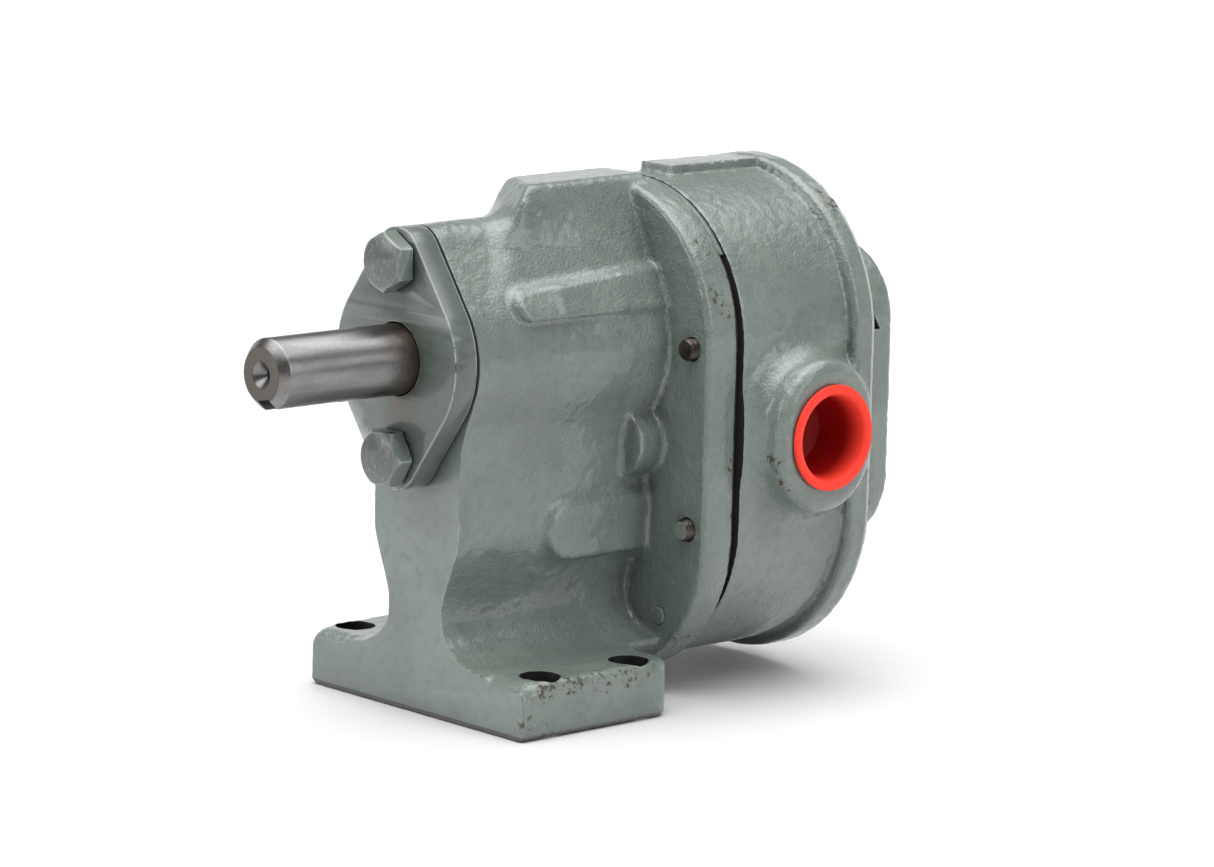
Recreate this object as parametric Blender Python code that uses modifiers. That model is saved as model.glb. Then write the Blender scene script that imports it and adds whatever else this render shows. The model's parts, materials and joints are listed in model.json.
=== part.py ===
"""Foot-mounted external gear pump, in metres, +Z up.

The origin is the centre of the foot's four bolt holes, on the foot's underside. The shafts run along Y and
the drive end points to -Y. Sizes below are in millimetres. A depth is measured back (+Y) from the machined
front face of the housing, and a height is measured up from the underside of the foot.
"""
import math

import bmesh
import bpy
from mathutils import Matrix, Vector

MM = 0.001

# ---- driving dimensions -------------------------------------------------------------------------------
SHAFT_RADIUS = 9.525
SHAFT_HEIGHT = 96.7
SHAFT_END_DEPTH = -53.6
SHAFT_TAIL = 3.2  # how far the shafts run past the back of the gear case
IDLER_START = 46.0
KEY_WIDTH = 4.76
KEYWAY_LENGTH = 25.4
KEYWAY_DEPTH = 3.0
KEYWAY_TILT = 10.0
GEAR_TEETH = 12
GEAR_CENTRES = 47.5
PRESSURE_ANGLE = 25.0
BACKLASH = 0.30
BUSH_OUTER = 12.4
RING_OUTER = 12.6

NOSE_RADIUS = 24.3
NOSE_END_RADIUS = 9.1
FLANGE_FRONT = 66.0
FLANGE_BACK = 76.2
FLANGE_RADIUS = 42.45
FLANGE_TOP = 97.85
FLANGE_BOTTOM = 45.4
CASE_FRONT = 77.8
CASE_BACK = 124.7
DRUM_RADIUS = 43.5
RIM_RADIUS = 46.6
RIM_WIDTH = 7.0
COVER_FRONT = 125.4
COVER_BACK = 133.3
COVER_CORNERS = [(x, z) for x in (-24.2, 24.2) for z in (57.4, 100.2)]
COVER_CORNER_RADIUS = 21.0

PORT_DEPTH = 99.8
PORT_HEIGHT = 72.6
PORT_RADIUS = 13.1
PORT_THROAT_RADIUS = 8.5
PORT_FACE = 55.5

FOOT_HALF_WIDTH = 44.45
FOOT_DEPTH = 54.6
FOOT_THICKNESS = 15.3
FOOT_CORNER_RADIUS = 7.0
FOOT_HOLE_RADIUS = 5.53
FOOT_HOLES_X = 38.1
FOOT_HOLES_DEPTH = (11.2, 42.95)

GLAND_BOLTS = 26.15  # from the shaft axis, up and down
GLAND_BOLT_FLATS = 14.29
GLAND_PLATE_THICKNESS = 7.3
GLAND_BACK_GAP = 0.9
SEAL_RADIUS = 15.9
SEAL_FRONT = 2.0
SCREW_OFFSET = 35.4
SCREW_RADIUS = 3.1
SCREW_HEAD_RADIUS = 4.5
SCREW_HEAD_HEIGHT = 6.3
SCREW_HEAD_SUNK = 5.2
SCREW_STAND_OUT = 2.6
DOWEL_RADIUS = 2.5
GAP = 0.2  # between parts that only touch
RUNNING = 0.15  # between parts that turn in one another

# ---- sizes that follow ---------------------------------------------------------------------------------
ORIGIN_DEPTH = sum(FOOT_HOLES_DEPTH) / 2
IDLER_HEIGHT = SHAFT_HEIGHT - GEAR_CENTRES
MODULE = GEAR_CENTRES / GEAR_TEETH
PITCH_RADIUS = GEAR_CENTRES / 2
GEAR_TIP_RADIUS = PITCH_RADIUS + MODULE * 0.98
GEAR_ROOT_RADIUS = PITCH_RADIUS - MODULE * 1.22
POCKET_RADIUS = GEAR_TIP_RADIUS + 0.3
POCKET_BACK = CASE_BACK - 8.0
GEAR_FRONT = CASE_FRONT + 0.3
GEAR_BACK = POCKET_BACK - 0.3
RING_SPANS = [(GEAR_FRONT + 0.3, GEAR_FRONT + 1.4), (GEAR_BACK - 1.4, GEAR_BACK - 0.3)]
BUSH_BACK = CASE_BACK + 4.4
GLAND_FRONT = -GLAND_BACK_GAP - GLAND_PLATE_THICKNESS
SCREW_HEIGHTS = (SHAFT_HEIGHT + 0.5, IDLER_HEIGHT - 1.4)
SCREW_PLACES = [(x, z) for z in SCREW_HEIGHTS for x in (-SCREW_OFFSET, SCREW_OFFSET)]
SCREW_PLACES += [(0, SHAFT_HEIGHT + SCREW_OFFSET), (0, IDLER_HEIGHT - SCREW_OFFSET)]
TOP_SCREW = 4  # the only one whose thread stops inside the flange
DOWEL_PLACES = [(24.9, 22.2), (-24.9, 2 * PORT_HEIGHT - 22.2)]

# ---- colours: (red, green, blue), roughness, metallic ----------------------------------------------------
PAINT = ((0.200, 0.235, 0.212), 0.42, 0.0)
STEEL = ((0.50, 0.49, 0.48), 0.28, 1.0)
DARK_STEEL = ((0.16, 0.15, 0.15), 0.45, 1.0)
BRONZE = ((0.55, 0.36, 0.15), 0.40, 1.0)
GASKET = ((0.020, 0.020, 0.019), 0.85, 0.0)
RUBBER = ((0.018, 0.018, 0.018), 0.60, 0.0)
RED_PLASTIC = ((0.90, 0.045, 0.030), 0.35, 0.0)


def clear_scene():
    for old in list(bpy.data.objects):
        bpy.data.objects.remove(old, do_unlink=True)


def new_collection(name):
    made = bpy.data.collections.new(name)
    bpy.context.scene.collection.children.link(made)
    return made


def at(x, depth, height):
    """A point in metres from a side offset, a depth and a height in millimetres."""
    return Vector((x * MM, (depth - ORIGIN_DEPTH) * MM, height * MM))


def material(name, look):
    colour, roughness, metallic = look
    made = bpy.data.materials.new(name)
    made.use_nodes = True
    shader = made.node_tree.nodes["Principled BSDF"]
    shader.inputs["Base Color"].default_value = (*colour, 1.0)
    shader.inputs["Roughness"].default_value = roughness
    shader.inputs["Metallic"].default_value = metallic
    made.diffuse_color = (*colour, 1.0)
    return made


def set_aside(obj):
    """Hides a piece that only shapes another one."""
    obj.hide_render = True
    obj.display_type = "WIRE"
    PUMP.objects.unlink(obj)
    CUTTERS.objects.link(obj)


# ---- outlines: lists of (x, height) ---------------------------------------------------------------------
def arc(x, height, radius, start, stop, steps):
    """Points of an arc, angles in degrees from +X towards +Z, both ends included."""
    angles = [math.radians(start + (stop - start) * i / steps) for i in range(steps + 1)]
    return [(x + radius * math.cos(a), height + radius * math.sin(a)) for a in angles]


def circle(x, height, radius, steps=32):
    return arc(x, height, radius, 0, 360, steps)[:-1]


def hull(circles, steps=28):
    """The convex outline round some circles, each (x, height, radius), counter-clockwise."""
    every = [point for x, z, r in circles for point in circle(x, z, r, steps)]
    points = sorted({(round(x, 5), round(z, 5)) for x, z in every})

    def half(ordered):
        kept = []
        for p in ordered:
            while len(kept) > 1 and turn(kept[-2], kept[-1], p) <= 0:
                kept.pop()
            kept.append(p)
        return kept[:-1]

    return half(points) + half(points[::-1])


def turn(a, b, c):
    return (b[0] - a[0]) * (c[1] - a[1]) - (b[1] - a[1]) * (c[0] - a[0])


def lobes(radius, end_radius, steps=28):
    """The gland outline: a circle round the shaft and a smaller one round each gland bolt."""
    ends = [(0, SHAFT_HEIGHT + side * GLAND_BOLTS, end_radius) for side in (-1, 1)]
    return hull([(0, SHAFT_HEIGHT, radius)] + ends, steps)


def racetrack(radius, top, bottom, steps=32):
    return hull([(0, top, radius), (0, bottom, radius)], steps)


# ---- solids ---------------------------------------------------------------------------------------------
def plate(name, loops, front, back):
    """A flat outline with optional holes, from one depth to another, as a closed mesh."""
    curve = bpy.data.curves.new(name, "CURVE")
    curve.dimensions = "2D"
    curve.fill_mode = "BOTH"
    curve.extrude = (back - front) / 2 * MM
    for loop in loops:
        spline = curve.splines.new("POLY")
        spline.points.add(len(loop) - 1)
        for point, (x, z) in zip(spline.points, loop):
            point.co = (x * MM, z * MM, 0.0, 1.0)
        spline.use_cyclic_u = True
    flat = bpy.data.objects.new(name + "_outline", curve)
    bpy.context.scene.collection.objects.link(flat)
    bpy.context.view_layer.update()
    mesh = bpy.data.meshes.new_from_object(flat.evaluated_get(bpy.context.evaluated_depsgraph_get()))
    bpy.data.objects.remove(flat, do_unlink=True)
    mesh.transform(Matrix.Rotation(math.radians(90), 4, "X"))
    mesh.transform(Matrix.Translation(at(0, (front + back) / 2, 0)))
    weld(mesh)
    mesh.name = name
    obj = bpy.data.objects.new(name, mesh)
    PUMP.objects.link(obj)
    return obj


def weld(mesh):
    cage = bmesh.new()
    cage.from_mesh(mesh)
    bmesh.ops.remove_doubles(cage, verts=cage.verts, dist=0.000001)
    bmesh.ops.recalc_face_normals(cage, faces=cage.faces)
    cage.to_mesh(mesh)
    cage.free()


def box(name, low, high):
    """A block between two (x, depth, height) corners."""
    mesh = bpy.data.meshes.new(name)
    cage = bmesh.new()
    bmesh.ops.create_cube(cage, size=1.0)
    cage.to_mesh(mesh)
    cage.free()
    start, end = at(*low), at(*high)
    mesh.transform(Matrix.Diagonal((*(end - start), 1.0)))
    mesh.transform(Matrix.Translation((start + end) / 2))
    obj = bpy.data.objects.new(name, mesh)
    PUMP.objects.link(obj)
    return obj


def rod(name, radius, start, end, sides=24, spin=0.0):
    """A cylinder or prism between two (x, depth, height) points."""
    a, b = at(*start), at(*end)
    mesh = bpy.data.meshes.new(name)
    cage = bmesh.new()
    bmesh.ops.create_cone(
        cage, cap_ends=True, segments=sides, radius1=radius * MM, radius2=radius * MM, depth=(b - a).length
    )
    cage.to_mesh(mesh)
    cage.free()
    turned_to = (b - a).to_track_quat("Z", "Y").to_matrix().to_4x4()
    mesh.transform(turned_to @ Matrix.Rotation(math.radians(spin), 4, "Z"))
    mesh.transform(Matrix.Translation((a + b) / 2))
    obj = bpy.data.objects.new(name, mesh)
    PUMP.objects.link(obj)
    return obj


def turned(name, profile, centre, axis, closed, steps=32):
    """A lathe-turned piece. The profile is (radius, distance along axis) and runs down the outer side."""
    mesh = bpy.data.meshes.new(name)
    cage = bmesh.new()
    corners = [cage.verts.new((r * MM, 0.0, along * MM)) for r, along in profile]
    for a, b in zip(corners, corners[1:]):
        cage.edges.new((a, b))
    if closed:
        cage.edges.new((corners[-1], corners[0]))
    cage.to_mesh(mesh)
    cage.free()
    obj = bpy.data.objects.new(name, mesh)
    PUMP.objects.link(obj)
    obj.location = at(*centre)
    obj.rotation_mode = "QUATERNION"
    obj.rotation_quaternion = Vector(axis).to_track_quat("Z", "Y")
    screw = obj.modifiers.new("lathe", "SCREW")
    screw.axis = "Z"
    screw.angle = math.radians(360)
    screw.steps = steps
    screw.render_steps = steps
    screw.use_merge_vertices = True
    screw.merge_threshold = 0.000005
    return obj


def ring(name, outer, inner, front, back, height, steps=32):
    """A plain turned sleeve on a shaft axis."""
    length = back - front
    profile = [(outer, length), (outer, 0), (inner, 0), (inner, length)]
    return turned(name, profile, (0, front, height), (0, 1, 0), True, steps)


def combine(target, operation, *tools):
    for tool in tools:
        set_aside(tool)
        step = target.modifiers.new(operation.lower() + "_" + tool.name, "BOOLEAN")
        step.operation = operation
        step.solver = "EXACT"
        step.object = tool
    return target


def soften(obj, width, segments=1, angle=35):
    bevel = obj.modifiers.new("rounded edges", "BEVEL")
    bevel.width = width * MM
    bevel.segments = segments
    bevel.limit_method = "ANGLE"
    bevel.angle_limit = math.radians(angle)
    return obj


def finish(obj, look, smooth=True):
    """Gives a piece its own material, and smooth shading with sharp corners kept."""
    obj.data.materials.append(material(obj.name, look))
    if smooth:
        obj.data.shade_smooth()
        obj.data.set_sharp_from_angle(angle=math.radians(30))
    return obj


def hang_on_axis(name, centre, pieces):
    """Parents the pieces of one moving body to an empty on its joint's axis."""
    axis = bpy.data.objects.new(name, None)
    axis.location = at(*centre)
    axis.empty_display_size = 0.02
    PUMP.objects.link(axis)
    bpy.context.view_layer.update()
    for piece in pieces:
        piece.parent = axis
        piece.matrix_parent_inverse = axis.matrix_world.inverted()
    return axis


# ---- front housing --------------------------------------------------------------------------------------
def column_outline():
    """The column's front view: full width above, a narrow neck, and a wide fillet into the foot."""
    full, neck, foot_reach = 17.3, 11.0, 30.0
    shoulder, waist, fillet_top = 50.5, 28.0, 26.5
    drop = fillet_top - FOOT_THICKNESS + 0.3
    side = [(full, 92.0), (full, shoulder)]
    for i in range(1, 6):
        t = i / 6
        side.append((full - (full - neck) * (3 * t * t - 2 * t ** 3), shoulder - (shoulder - waist) * t))
    side.append((neck, waist))
    for i in range(7):
        a = math.radians(90 * i / 6)
        side.append((neck + (foot_reach - neck) * (1 - math.cos(a)), fillet_top - drop * math.sin(a)))
    side.append((foot_reach, 4.0))
    return side + [(-x, z) for x, z in reversed(side)]


def web_outline():
    """The narrow web that carries the column down behind the foot to the flange."""
    side = [(17.5, 46.0), (12.5, 36.0), (11.0, 28.0), (12.5, 20.0), (17.0, 12.0), (17.0, 6.0)]
    return side + [(-x, z) for x, z in reversed(side)]


def ridge():
    """The thick rib along the top of the nose, with a sloped front."""
    section = hull([(0, SHAFT_HEIGHT, 25.3), (-7.0, 138.6, 3.2), (7.0, 138.6, 3.2)], 28)
    rib = plate("ridge", [section], 24.0, 69.4)
    for vertex in rib.data.vertices:
        if vertex.co.y < at(0, 30, 0).y:
            vertex.co.y += 0.8 * max(vertex.co.z - at(0, 0, 132).z, 0)
    return soften(rib, 3)


def side_bosses(side):
    """Two tongues and a half-round boss that run along one side of the nose into the flange."""
    label = "left" if side < 0 else "right"
    made = []
    for name, height, reach, start, radius in (
        ("upper", 113.2, 18.2, 12.0, 6.0),
        ("lower", 48.0, 12.0, 30.5, 7.6),
    ):
        front, back = ((side * reach, depth, height) for depth in (start, 68.1))
        made.append(soften(rod(f"{name}_boss_{label}", radius, front, back, 16), 2.0))
    front, back = ((side * 16.7, depth, 69.9) for depth in (57.0, 67.6))
    made.append(rod("half_moon_" + label, 9.0, front, back, 20))
    return made


def foot():
    block = box("foot", (-FOOT_HALF_WIDTH, 0, 0), (FOOT_HALF_WIDTH, FOOT_DEPTH, FOOT_THICKNESS))
    weights = block.data.attributes.new("bevel_weight_edge", "FLOAT", "EDGE")
    for edge in block.data.edges:
        a, b = (block.data.vertices[i].co for i in edge.vertices)
        weights.data[edge.index].value = 1.0 if abs(a.z - b.z) > MM and a.y > 0 else 0.0
    upright = block.modifiers.new("upright corners", "BEVEL")
    upright.width = FOOT_CORNER_RADIUS * MM
    upright.segments = 4
    upright.limit_method = "WEIGHT"
    return block


def front_housing():
    housing = plate("front_housing", [lobes(NOSE_RADIUS, NOSE_END_RADIUS)], 0.0, FLANGE_FRONT + 3)
    column = plate("column", [column_outline()], 0.0, FOOT_DEPTH - 1)
    web = plate("web", [web_outline()], FOOT_DEPTH - 6, FLANGE_FRONT + 2.6)
    corners = [(x, z, 3.0) for x in (-15.3, 15.3) for z in (43, 74)]
    back_column = plate("back_column", [hull(corners, 16)], 36, 70.3)
    track = racetrack(FLANGE_RADIUS, FLANGE_TOP, FLANGE_BOTTOM)
    flange = plate("flange", [track], FLANGE_FRONT, FLANGE_BACK)
    combine(housing, "UNION", *side_bosses(-1), *side_bosses(1))
    combine(housing, "UNION", column, web, back_column, ridge(), foot(), soften(flange, 1.5))
    combine(housing, "DIFFERENCE", *housing_bores())
    finish(housing, PAINT)


def housing_bores():
    bores = []
    for x in (-FOOT_HOLES_X, FOOT_HOLES_X):
        for depth in FOOT_HOLES_DEPTH:
            top = FOOT_THICKNESS + 12
            bores.append(rod("foot_hole", FOOT_HOLE_RADIUS, (x, depth, -2), (x, depth, top), 20))
    for label, radius, start, stop, height in (
        ("seal_recess", SEAL_RADIUS + 0.3, -1.0, 12.0, SHAFT_HEIGHT),
        ("shaft_bore", SHAFT_RADIUS + 0.9, -1.0, 60.0, SHAFT_HEIGHT),
        ("drive_bush_bore", BUSH_OUTER + GAP, 40.0, 80.0, SHAFT_HEIGHT),
        ("idler_bush_bore", BUSH_OUTER + GAP, 44.0, 80.0, IDLER_HEIGHT),
    ):
        bores.append(rod(label, radius, (0, start, height), (0, stop, height)))
    for height in (SHAFT_HEIGHT - GLAND_BOLTS, SHAFT_HEIGHT + GLAND_BOLTS):
        bores.append(rod("gland_thread", 5.0, (0, -1, height), (0, 17.0, height), 20))
    for i, (x, height) in enumerate(SCREW_PLACES):
        start = FLANGE_FRONT - 4 if i == TOP_SCREW else FLANGE_FRONT - 12
        bores.append(rod("case_thread", SCREW_RADIUS + GAP, (x, start, height), (x, 80, height), 16))
    for x, height in DOWEL_PLACES:
        bores.append(rod("dowel_hole", DOWEL_RADIUS + GAP, (x, 60, height), (x, 80, height), 16))
    return bores


# ---- gear case and cover --------------------------------------------------------------------------------
def gear_case():
    drum_track = racetrack(DRUM_RADIUS, SHAFT_HEIGHT, IDLER_HEIGHT)
    rim_track = racetrack(RIM_RADIUS, SHAFT_HEIGHT, IDLER_HEIGHT)
    case = plate("gear_case", [drum_track], CASE_FRONT, CASE_BACK)
    rim = plate("rim", [rim_track], CASE_BACK - RIM_WIDTH, CASE_BACK)
    pad = plate("top_pad", [[(-6, 130), (6, 130), (6, 142.9), (-6, 142.9)]], 84.0, CASE_BACK - 3)
    combine(case, "UNION", soften(rim, 1.2), pad, port_boss(-1), port_boss(1))
    combine(case, "DIFFERENCE", *case_bores())
    finish(case, PAINT)


def case_bores():
    bores = []
    for height in (SHAFT_HEIGHT, IDLER_HEIGHT):
        bores.append(plate("gear_pocket", [circle(0, height, POCKET_RADIUS)], CASE_FRONT - 2, POCKET_BACK))
    for side in (-1, 1):
        for label, radius, start, stop, sides in (
            ("port", PORT_RADIUS, 30, 60, 28),
            ("throat", PORT_THROAT_RADIUS, 12, 40, 20),
        ):
            inner, outer = ((side * x, PORT_DEPTH, PORT_HEIGHT) for x in (start, stop))
            bores.append(rod(label, radius, inner, outer, sides))
    for height in (SHAFT_HEIGHT, IDLER_HEIGHT):
        bores.append(rod("rear_bush_bore", BUSH_OUTER + GAP, (0, 100, height), (0, 130, height)))
    for x, height in SCREW_PLACES:
        bores.append(rod("screw_hole", SCREW_RADIUS + GAP, (x, 70, height), (x, 130, height), 16))
    for x, height in DOWEL_PLACES:
        end = (x, CASE_FRONT + 9, height)
        bores.append(rod("dowel_hole", DOWEL_RADIUS + GAP, (x, 70, height), end, 16))
    return bores


def port_boss(side):
    """An oval boss that stands out of the drum round a port."""
    root = 30.0
    label = "left" if side < 0 else "right"
    oval = hull([(0, -3.5, 17.4), (0, 3.5, 17.4)], 32)
    boss = plate("port_boss_" + label, [oval], 0, 1)
    boss.data.transform(Matrix.Translation(-at(0, 0.5, 0)))
    boss.data.transform(Matrix.Diagonal((1, PORT_FACE - root, 1, 1)))
    boss.data.transform(Matrix.Rotation(math.radians(-90 * side), 4, "Z"))
    boss.data.transform(Matrix.Translation(at(side * (PORT_FACE + root) / 2, PORT_DEPTH, PORT_HEIGHT)))
    return soften(boss, 2.5)


def rear_cover():
    outline = hull([(x, z, COVER_CORNER_RADIUS) for x, z in COVER_CORNERS], 24)
    cover = soften(plate("rear_cover", [outline], COVER_FRONT, COVER_BACK), 1.5)
    for height in (SHAFT_HEIGHT, IDLER_HEIGHT):
        front, back = (0, COVER_FRONT - 2, height), (0, BUSH_BACK + 0.3, height)
        combine(cover, "DIFFERENCE", rod("bush_recess", BUSH_OUTER + GAP, front, back))
    for x, height in SCREW_PLACES[:4]:
        hole = rod("screw_hole", SCREW_RADIUS + GAP, (x, 120, height), (x, 136, height), 16)
        under_head = (x, COVER_BACK - SCREW_HEAD_SUNK, height)
        seat = rod("head_seat", SCREW_HEAD_RADIUS + 0.2, under_head, (x, 136, height), 16)
        combine(cover, "DIFFERENCE", hole, seat)
    finish(cover, PAINT)


# ---- gland ----------------------------------------------------------------------------------------------
def gland():
    bolt_holes = [circle(0, SHAFT_HEIGHT + side * GLAND_BOLTS, 5.1, 16) for side in (-1, 1)]
    bore = circle(0, SHAFT_HEIGHT, SHAFT_RADIUS + 0.35, 32)
    outline = lobes(NOSE_RADIUS, NOSE_END_RADIUS)
    gland_plate = plate("gland_plate", [outline, bore] + bolt_holes, GLAND_FRONT, -GLAND_BACK_GAP)
    finish(gland_plate, PAINT)
    outline = lobes(NOSE_RADIUS - 0.5, NOSE_END_RADIUS - 0.5)
    wide_bore = circle(0, SHAFT_HEIGHT, SEAL_RADIUS + 0.5, 24)
    gasket = plate("gland_gasket", [outline, wide_bore] + bolt_holes, -GLAND_BACK_GAP + GAP, -GAP)
    finish(gasket, GASKET)
    gland_bolt("gland_bolt_top", SHAFT_HEIGHT + GLAND_BOLTS, 0)
    gland_bolt("gland_bolt_bottom", SHAFT_HEIGHT - GLAND_BOLTS, 30)


def gland_bolt(name, height, spin):
    corners = GLAND_BOLT_FLATS / 2 / math.cos(math.radians(30))
    head_back = GLAND_FRONT - GAP
    bolt = rod(name, corners, (0, head_back - 5.6, height), (0, head_back, height), 6, spin)
    combine(bolt, "UNION", rod(name + "_shank", 4.7, (0, head_back - 2, height), (0, 15.5, height), 20))
    finish(bolt, PAINT)


def shaft_seal():
    """A lip seal in the housing's recess: steel case, rubber lip, and garter spring."""
    centre = (0, SEAL_FRONT, SHAFT_HEIGHT)
    outer, inner = SEAL_RADIUS, SEAL_RADIUS - 1.0
    case = [(outer, 9.0), (outer, 0.3), (11.6, 0.3), (11.6, 1.3), (inner, 1.3), (inner, 9.0)]
    finish(turned("shaft_seal_case", case, centre, (0, 1, 0), True), DARK_STEEL)
    lip = [
        (14.6, 7.4), (14.6, 1.6), (11.4, 1.6), (9.8, 5.2), (9.8, 6.0),
        (11.2, 6.6), (11.2, 5.0), (12.4, 3.4), (13.4, 3.4), (13.4, 7.4),
    ]
    finish(turned("shaft_seal_lip", lip, centre, (0, 1, 0), True, 28), RUBBER)
    angles = [math.radians(90 - 60 * i) for i in range(6)]
    spring = [(12.1 + 0.6 * math.cos(a), 6.2 + 0.6 * math.sin(a)) for a in angles]
    finish(turned("shaft_seal_spring", spring, centre, (0, 1, 0), True, 24), STEEL)


# ---- shafts and gears -----------------------------------------------------------------------------------
def involute(t, base):
    return base * (math.cos(t) + t * math.sin(t)), base * (math.sin(t) - t * math.cos(t))


def gear_outline(height, phase):
    """Involute teeth, with backlash, round a shaft axis. The phase is the first tooth's angle."""
    pressure = math.radians(PRESSURE_ANGLE)
    base = PITCH_RADIUS * math.cos(pressure)
    half_tooth = math.pi / (2 * GEAR_TEETH) - BACKLASH / PITCH_RADIUS / 2
    pitch_polar = math.tan(pressure) - pressure
    tip_roll = math.sqrt((GEAR_TIP_RADIUS / base) ** 2 - 1)
    flank = []
    for i in range(5):
        x, y = involute(tip_roll * i / 4, base)
        flank.append((math.hypot(x, y), math.atan2(y, x) - pitch_polar - half_tooth))
    root_angle = flank[0][1]
    rise = [(GEAR_ROOT_RADIUS, root_angle - 0.045), (GEAR_ROOT_RADIUS + 0.7, root_angle)] + flank
    fall = [(r, -a) for r, a in reversed(rise)]
    points = []
    for tooth in range(GEAR_TEETH):
        middle = math.radians(phase) + 2 * math.pi * tooth / GEAR_TEETH
        points += [(r * math.cos(middle + a), height + r * math.sin(middle + a)) for r, a in rise + fall]
    return points


def gear(name, height, phase, sign):
    """A keyed gear and its key, on the upper (1) or lower (-1) side of the shaft."""
    bore = circle(0, height, SHAFT_RADIUS + RUNNING, 32)
    wheel = plate(name, [gear_outline(height, phase), bore], GEAR_FRONT, GEAR_BACK)
    slot = box(
        name + "_keyway",
        (-KEY_WIDTH / 2 - RUNNING, GEAR_FRONT - 1, height + sign * (SHAFT_RADIUS - 3)),
        (KEY_WIDTH / 2 + RUNNING, GEAR_BACK + 1, height + sign * (SHAFT_RADIUS + 2.5)),
    )
    weld(slot.data)
    combine(wheel, "DIFFERENCE", slot)
    if name == "drive_gear":
        for face in (GEAR_FRONT, GEAR_BACK):
            recess = rod("ring_recess", RING_OUTER + 0.6, (0, face - 1.8, height), (0, face + 1.8, height))
            combine(wheel, "DIFFERENCE", recess)
    finish(wheel, STEEL)
    key = box(
        name + "_key",
        (-KEY_WIDTH / 2, GEAR_FRONT + 3, height + sign * (SHAFT_RADIUS - 2.2)),
        (KEY_WIDTH / 2, GEAR_BACK - 3, height + sign * (SHAFT_RADIUS + 2.3)),
    )
    weld(key.data)
    finish(key, DARK_STEEL, smooth=False)
    return wheel, key


def shaft_keyway(shaft, height, sign):
    slot = box(
        shaft.name + "_gear_keyway",
        (-KEY_WIDTH / 2 - RUNNING, GEAR_FRONT + 2.7, height + sign * (SHAFT_RADIUS - 2.4)),
        (KEY_WIDTH / 2 + RUNNING, GEAR_BACK - 2.7, height + sign * (SHAFT_RADIUS + 2)),
    )
    weld(slot.data)
    combine(shaft, "DIFFERENCE", slot)


def drive_shaft():
    """The drive shaft: chamfered end with a centre hole, an open keyway, and two retaining-ring grooves."""
    r = SHAFT_RADIUS
    total = CASE_BACK + SHAFT_TAIL - SHAFT_END_DEPTH
    profile = [(0, total), (r - 1, total), (r, total - 1)]
    for front, back in reversed(RING_SPANS):
        start, stop = front - SHAFT_END_DEPTH - GAP, back - SHAFT_END_DEPTH + GAP
        profile += [(r, stop), (r - 0.9, stop), (r - 0.9, start), (r, start)]
    profile += [(r, 2.4), (r - 2.4, 0), (3.3, 0), (0, 3.8)]
    shaft = turned("drive_shaft", profile, (0, SHAFT_END_DEPTH, SHAFT_HEIGHT), (0, 1, 0), False)
    keyway = box(
        "drive_keyway",
        (-KEY_WIDTH / 2, SHAFT_END_DEPTH - 1, SHAFT_HEIGHT - r - 1),
        (KEY_WIDTH / 2, SHAFT_END_DEPTH + KEYWAY_LENGTH, SHAFT_HEIGHT - r + KEYWAY_DEPTH),
    )
    weld(keyway.data)
    pivot = Matrix.Translation(at(0, 0, SHAFT_HEIGHT))
    keyway.data.transform(pivot @ Matrix.Rotation(math.radians(-KEYWAY_TILT), 4, "Y") @ pivot.inverted())
    combine(shaft, "DIFFERENCE", keyway)
    shaft_keyway(shaft, SHAFT_HEIGHT, 1)
    return finish(shaft, STEEL)


def drive_train():
    pieces = [drive_shaft(), *gear("drive_gear", SHAFT_HEIGHT, -90, 1)]
    for label, (front, back) in zip(("front", "rear"), RING_SPANS):
        snap = ring("drive_gear_ring_" + label, RING_OUTER, SHAFT_RADIUS - 0.6, front, back, SHAFT_HEIGHT)
        pieces.append(finish(snap, DARK_STEEL))
    hang_on_axis("drive_axis", (0, 0, SHAFT_HEIGHT), pieces)


def idler_train():
    r = SHAFT_RADIUS
    length = CASE_BACK + SHAFT_TAIL - IDLER_START
    profile = [(0, length), (r - 1, length), (r, length - 1), (r, 1), (r - 1, 0), (0, 0)]
    shaft = turned("idler_shaft", profile, (0, IDLER_START, IDLER_HEIGHT), (0, 1, 0), False)
    shaft_keyway(shaft, IDLER_HEIGHT, -1)
    finish(shaft, STEEL)
    pieces = [shaft, *gear("idler_gear", IDLER_HEIGHT, 90 + 180 / GEAR_TEETH, -1)]
    hang_on_axis("idler_axis", (0, 0, IDLER_HEIGHT), pieces)


def bushes():
    spans = (
        ("drive_bush_front", 40.5, FLANGE_BACK - 0.5, SHAFT_HEIGHT),
        ("idler_bush_front", 46.5, FLANGE_BACK - 0.5, IDLER_HEIGHT),
        ("drive_bush_rear", POCKET_BACK + 0.5, BUSH_BACK, SHAFT_HEIGHT),
        ("idler_bush_rear", POCKET_BACK + 0.5, BUSH_BACK, IDLER_HEIGHT),
    )
    for name, front, back, height in spans:
        finish(ring(name, BUSH_OUTER, SHAFT_RADIUS + RUNNING, front, back, height), BRONZE)


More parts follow.
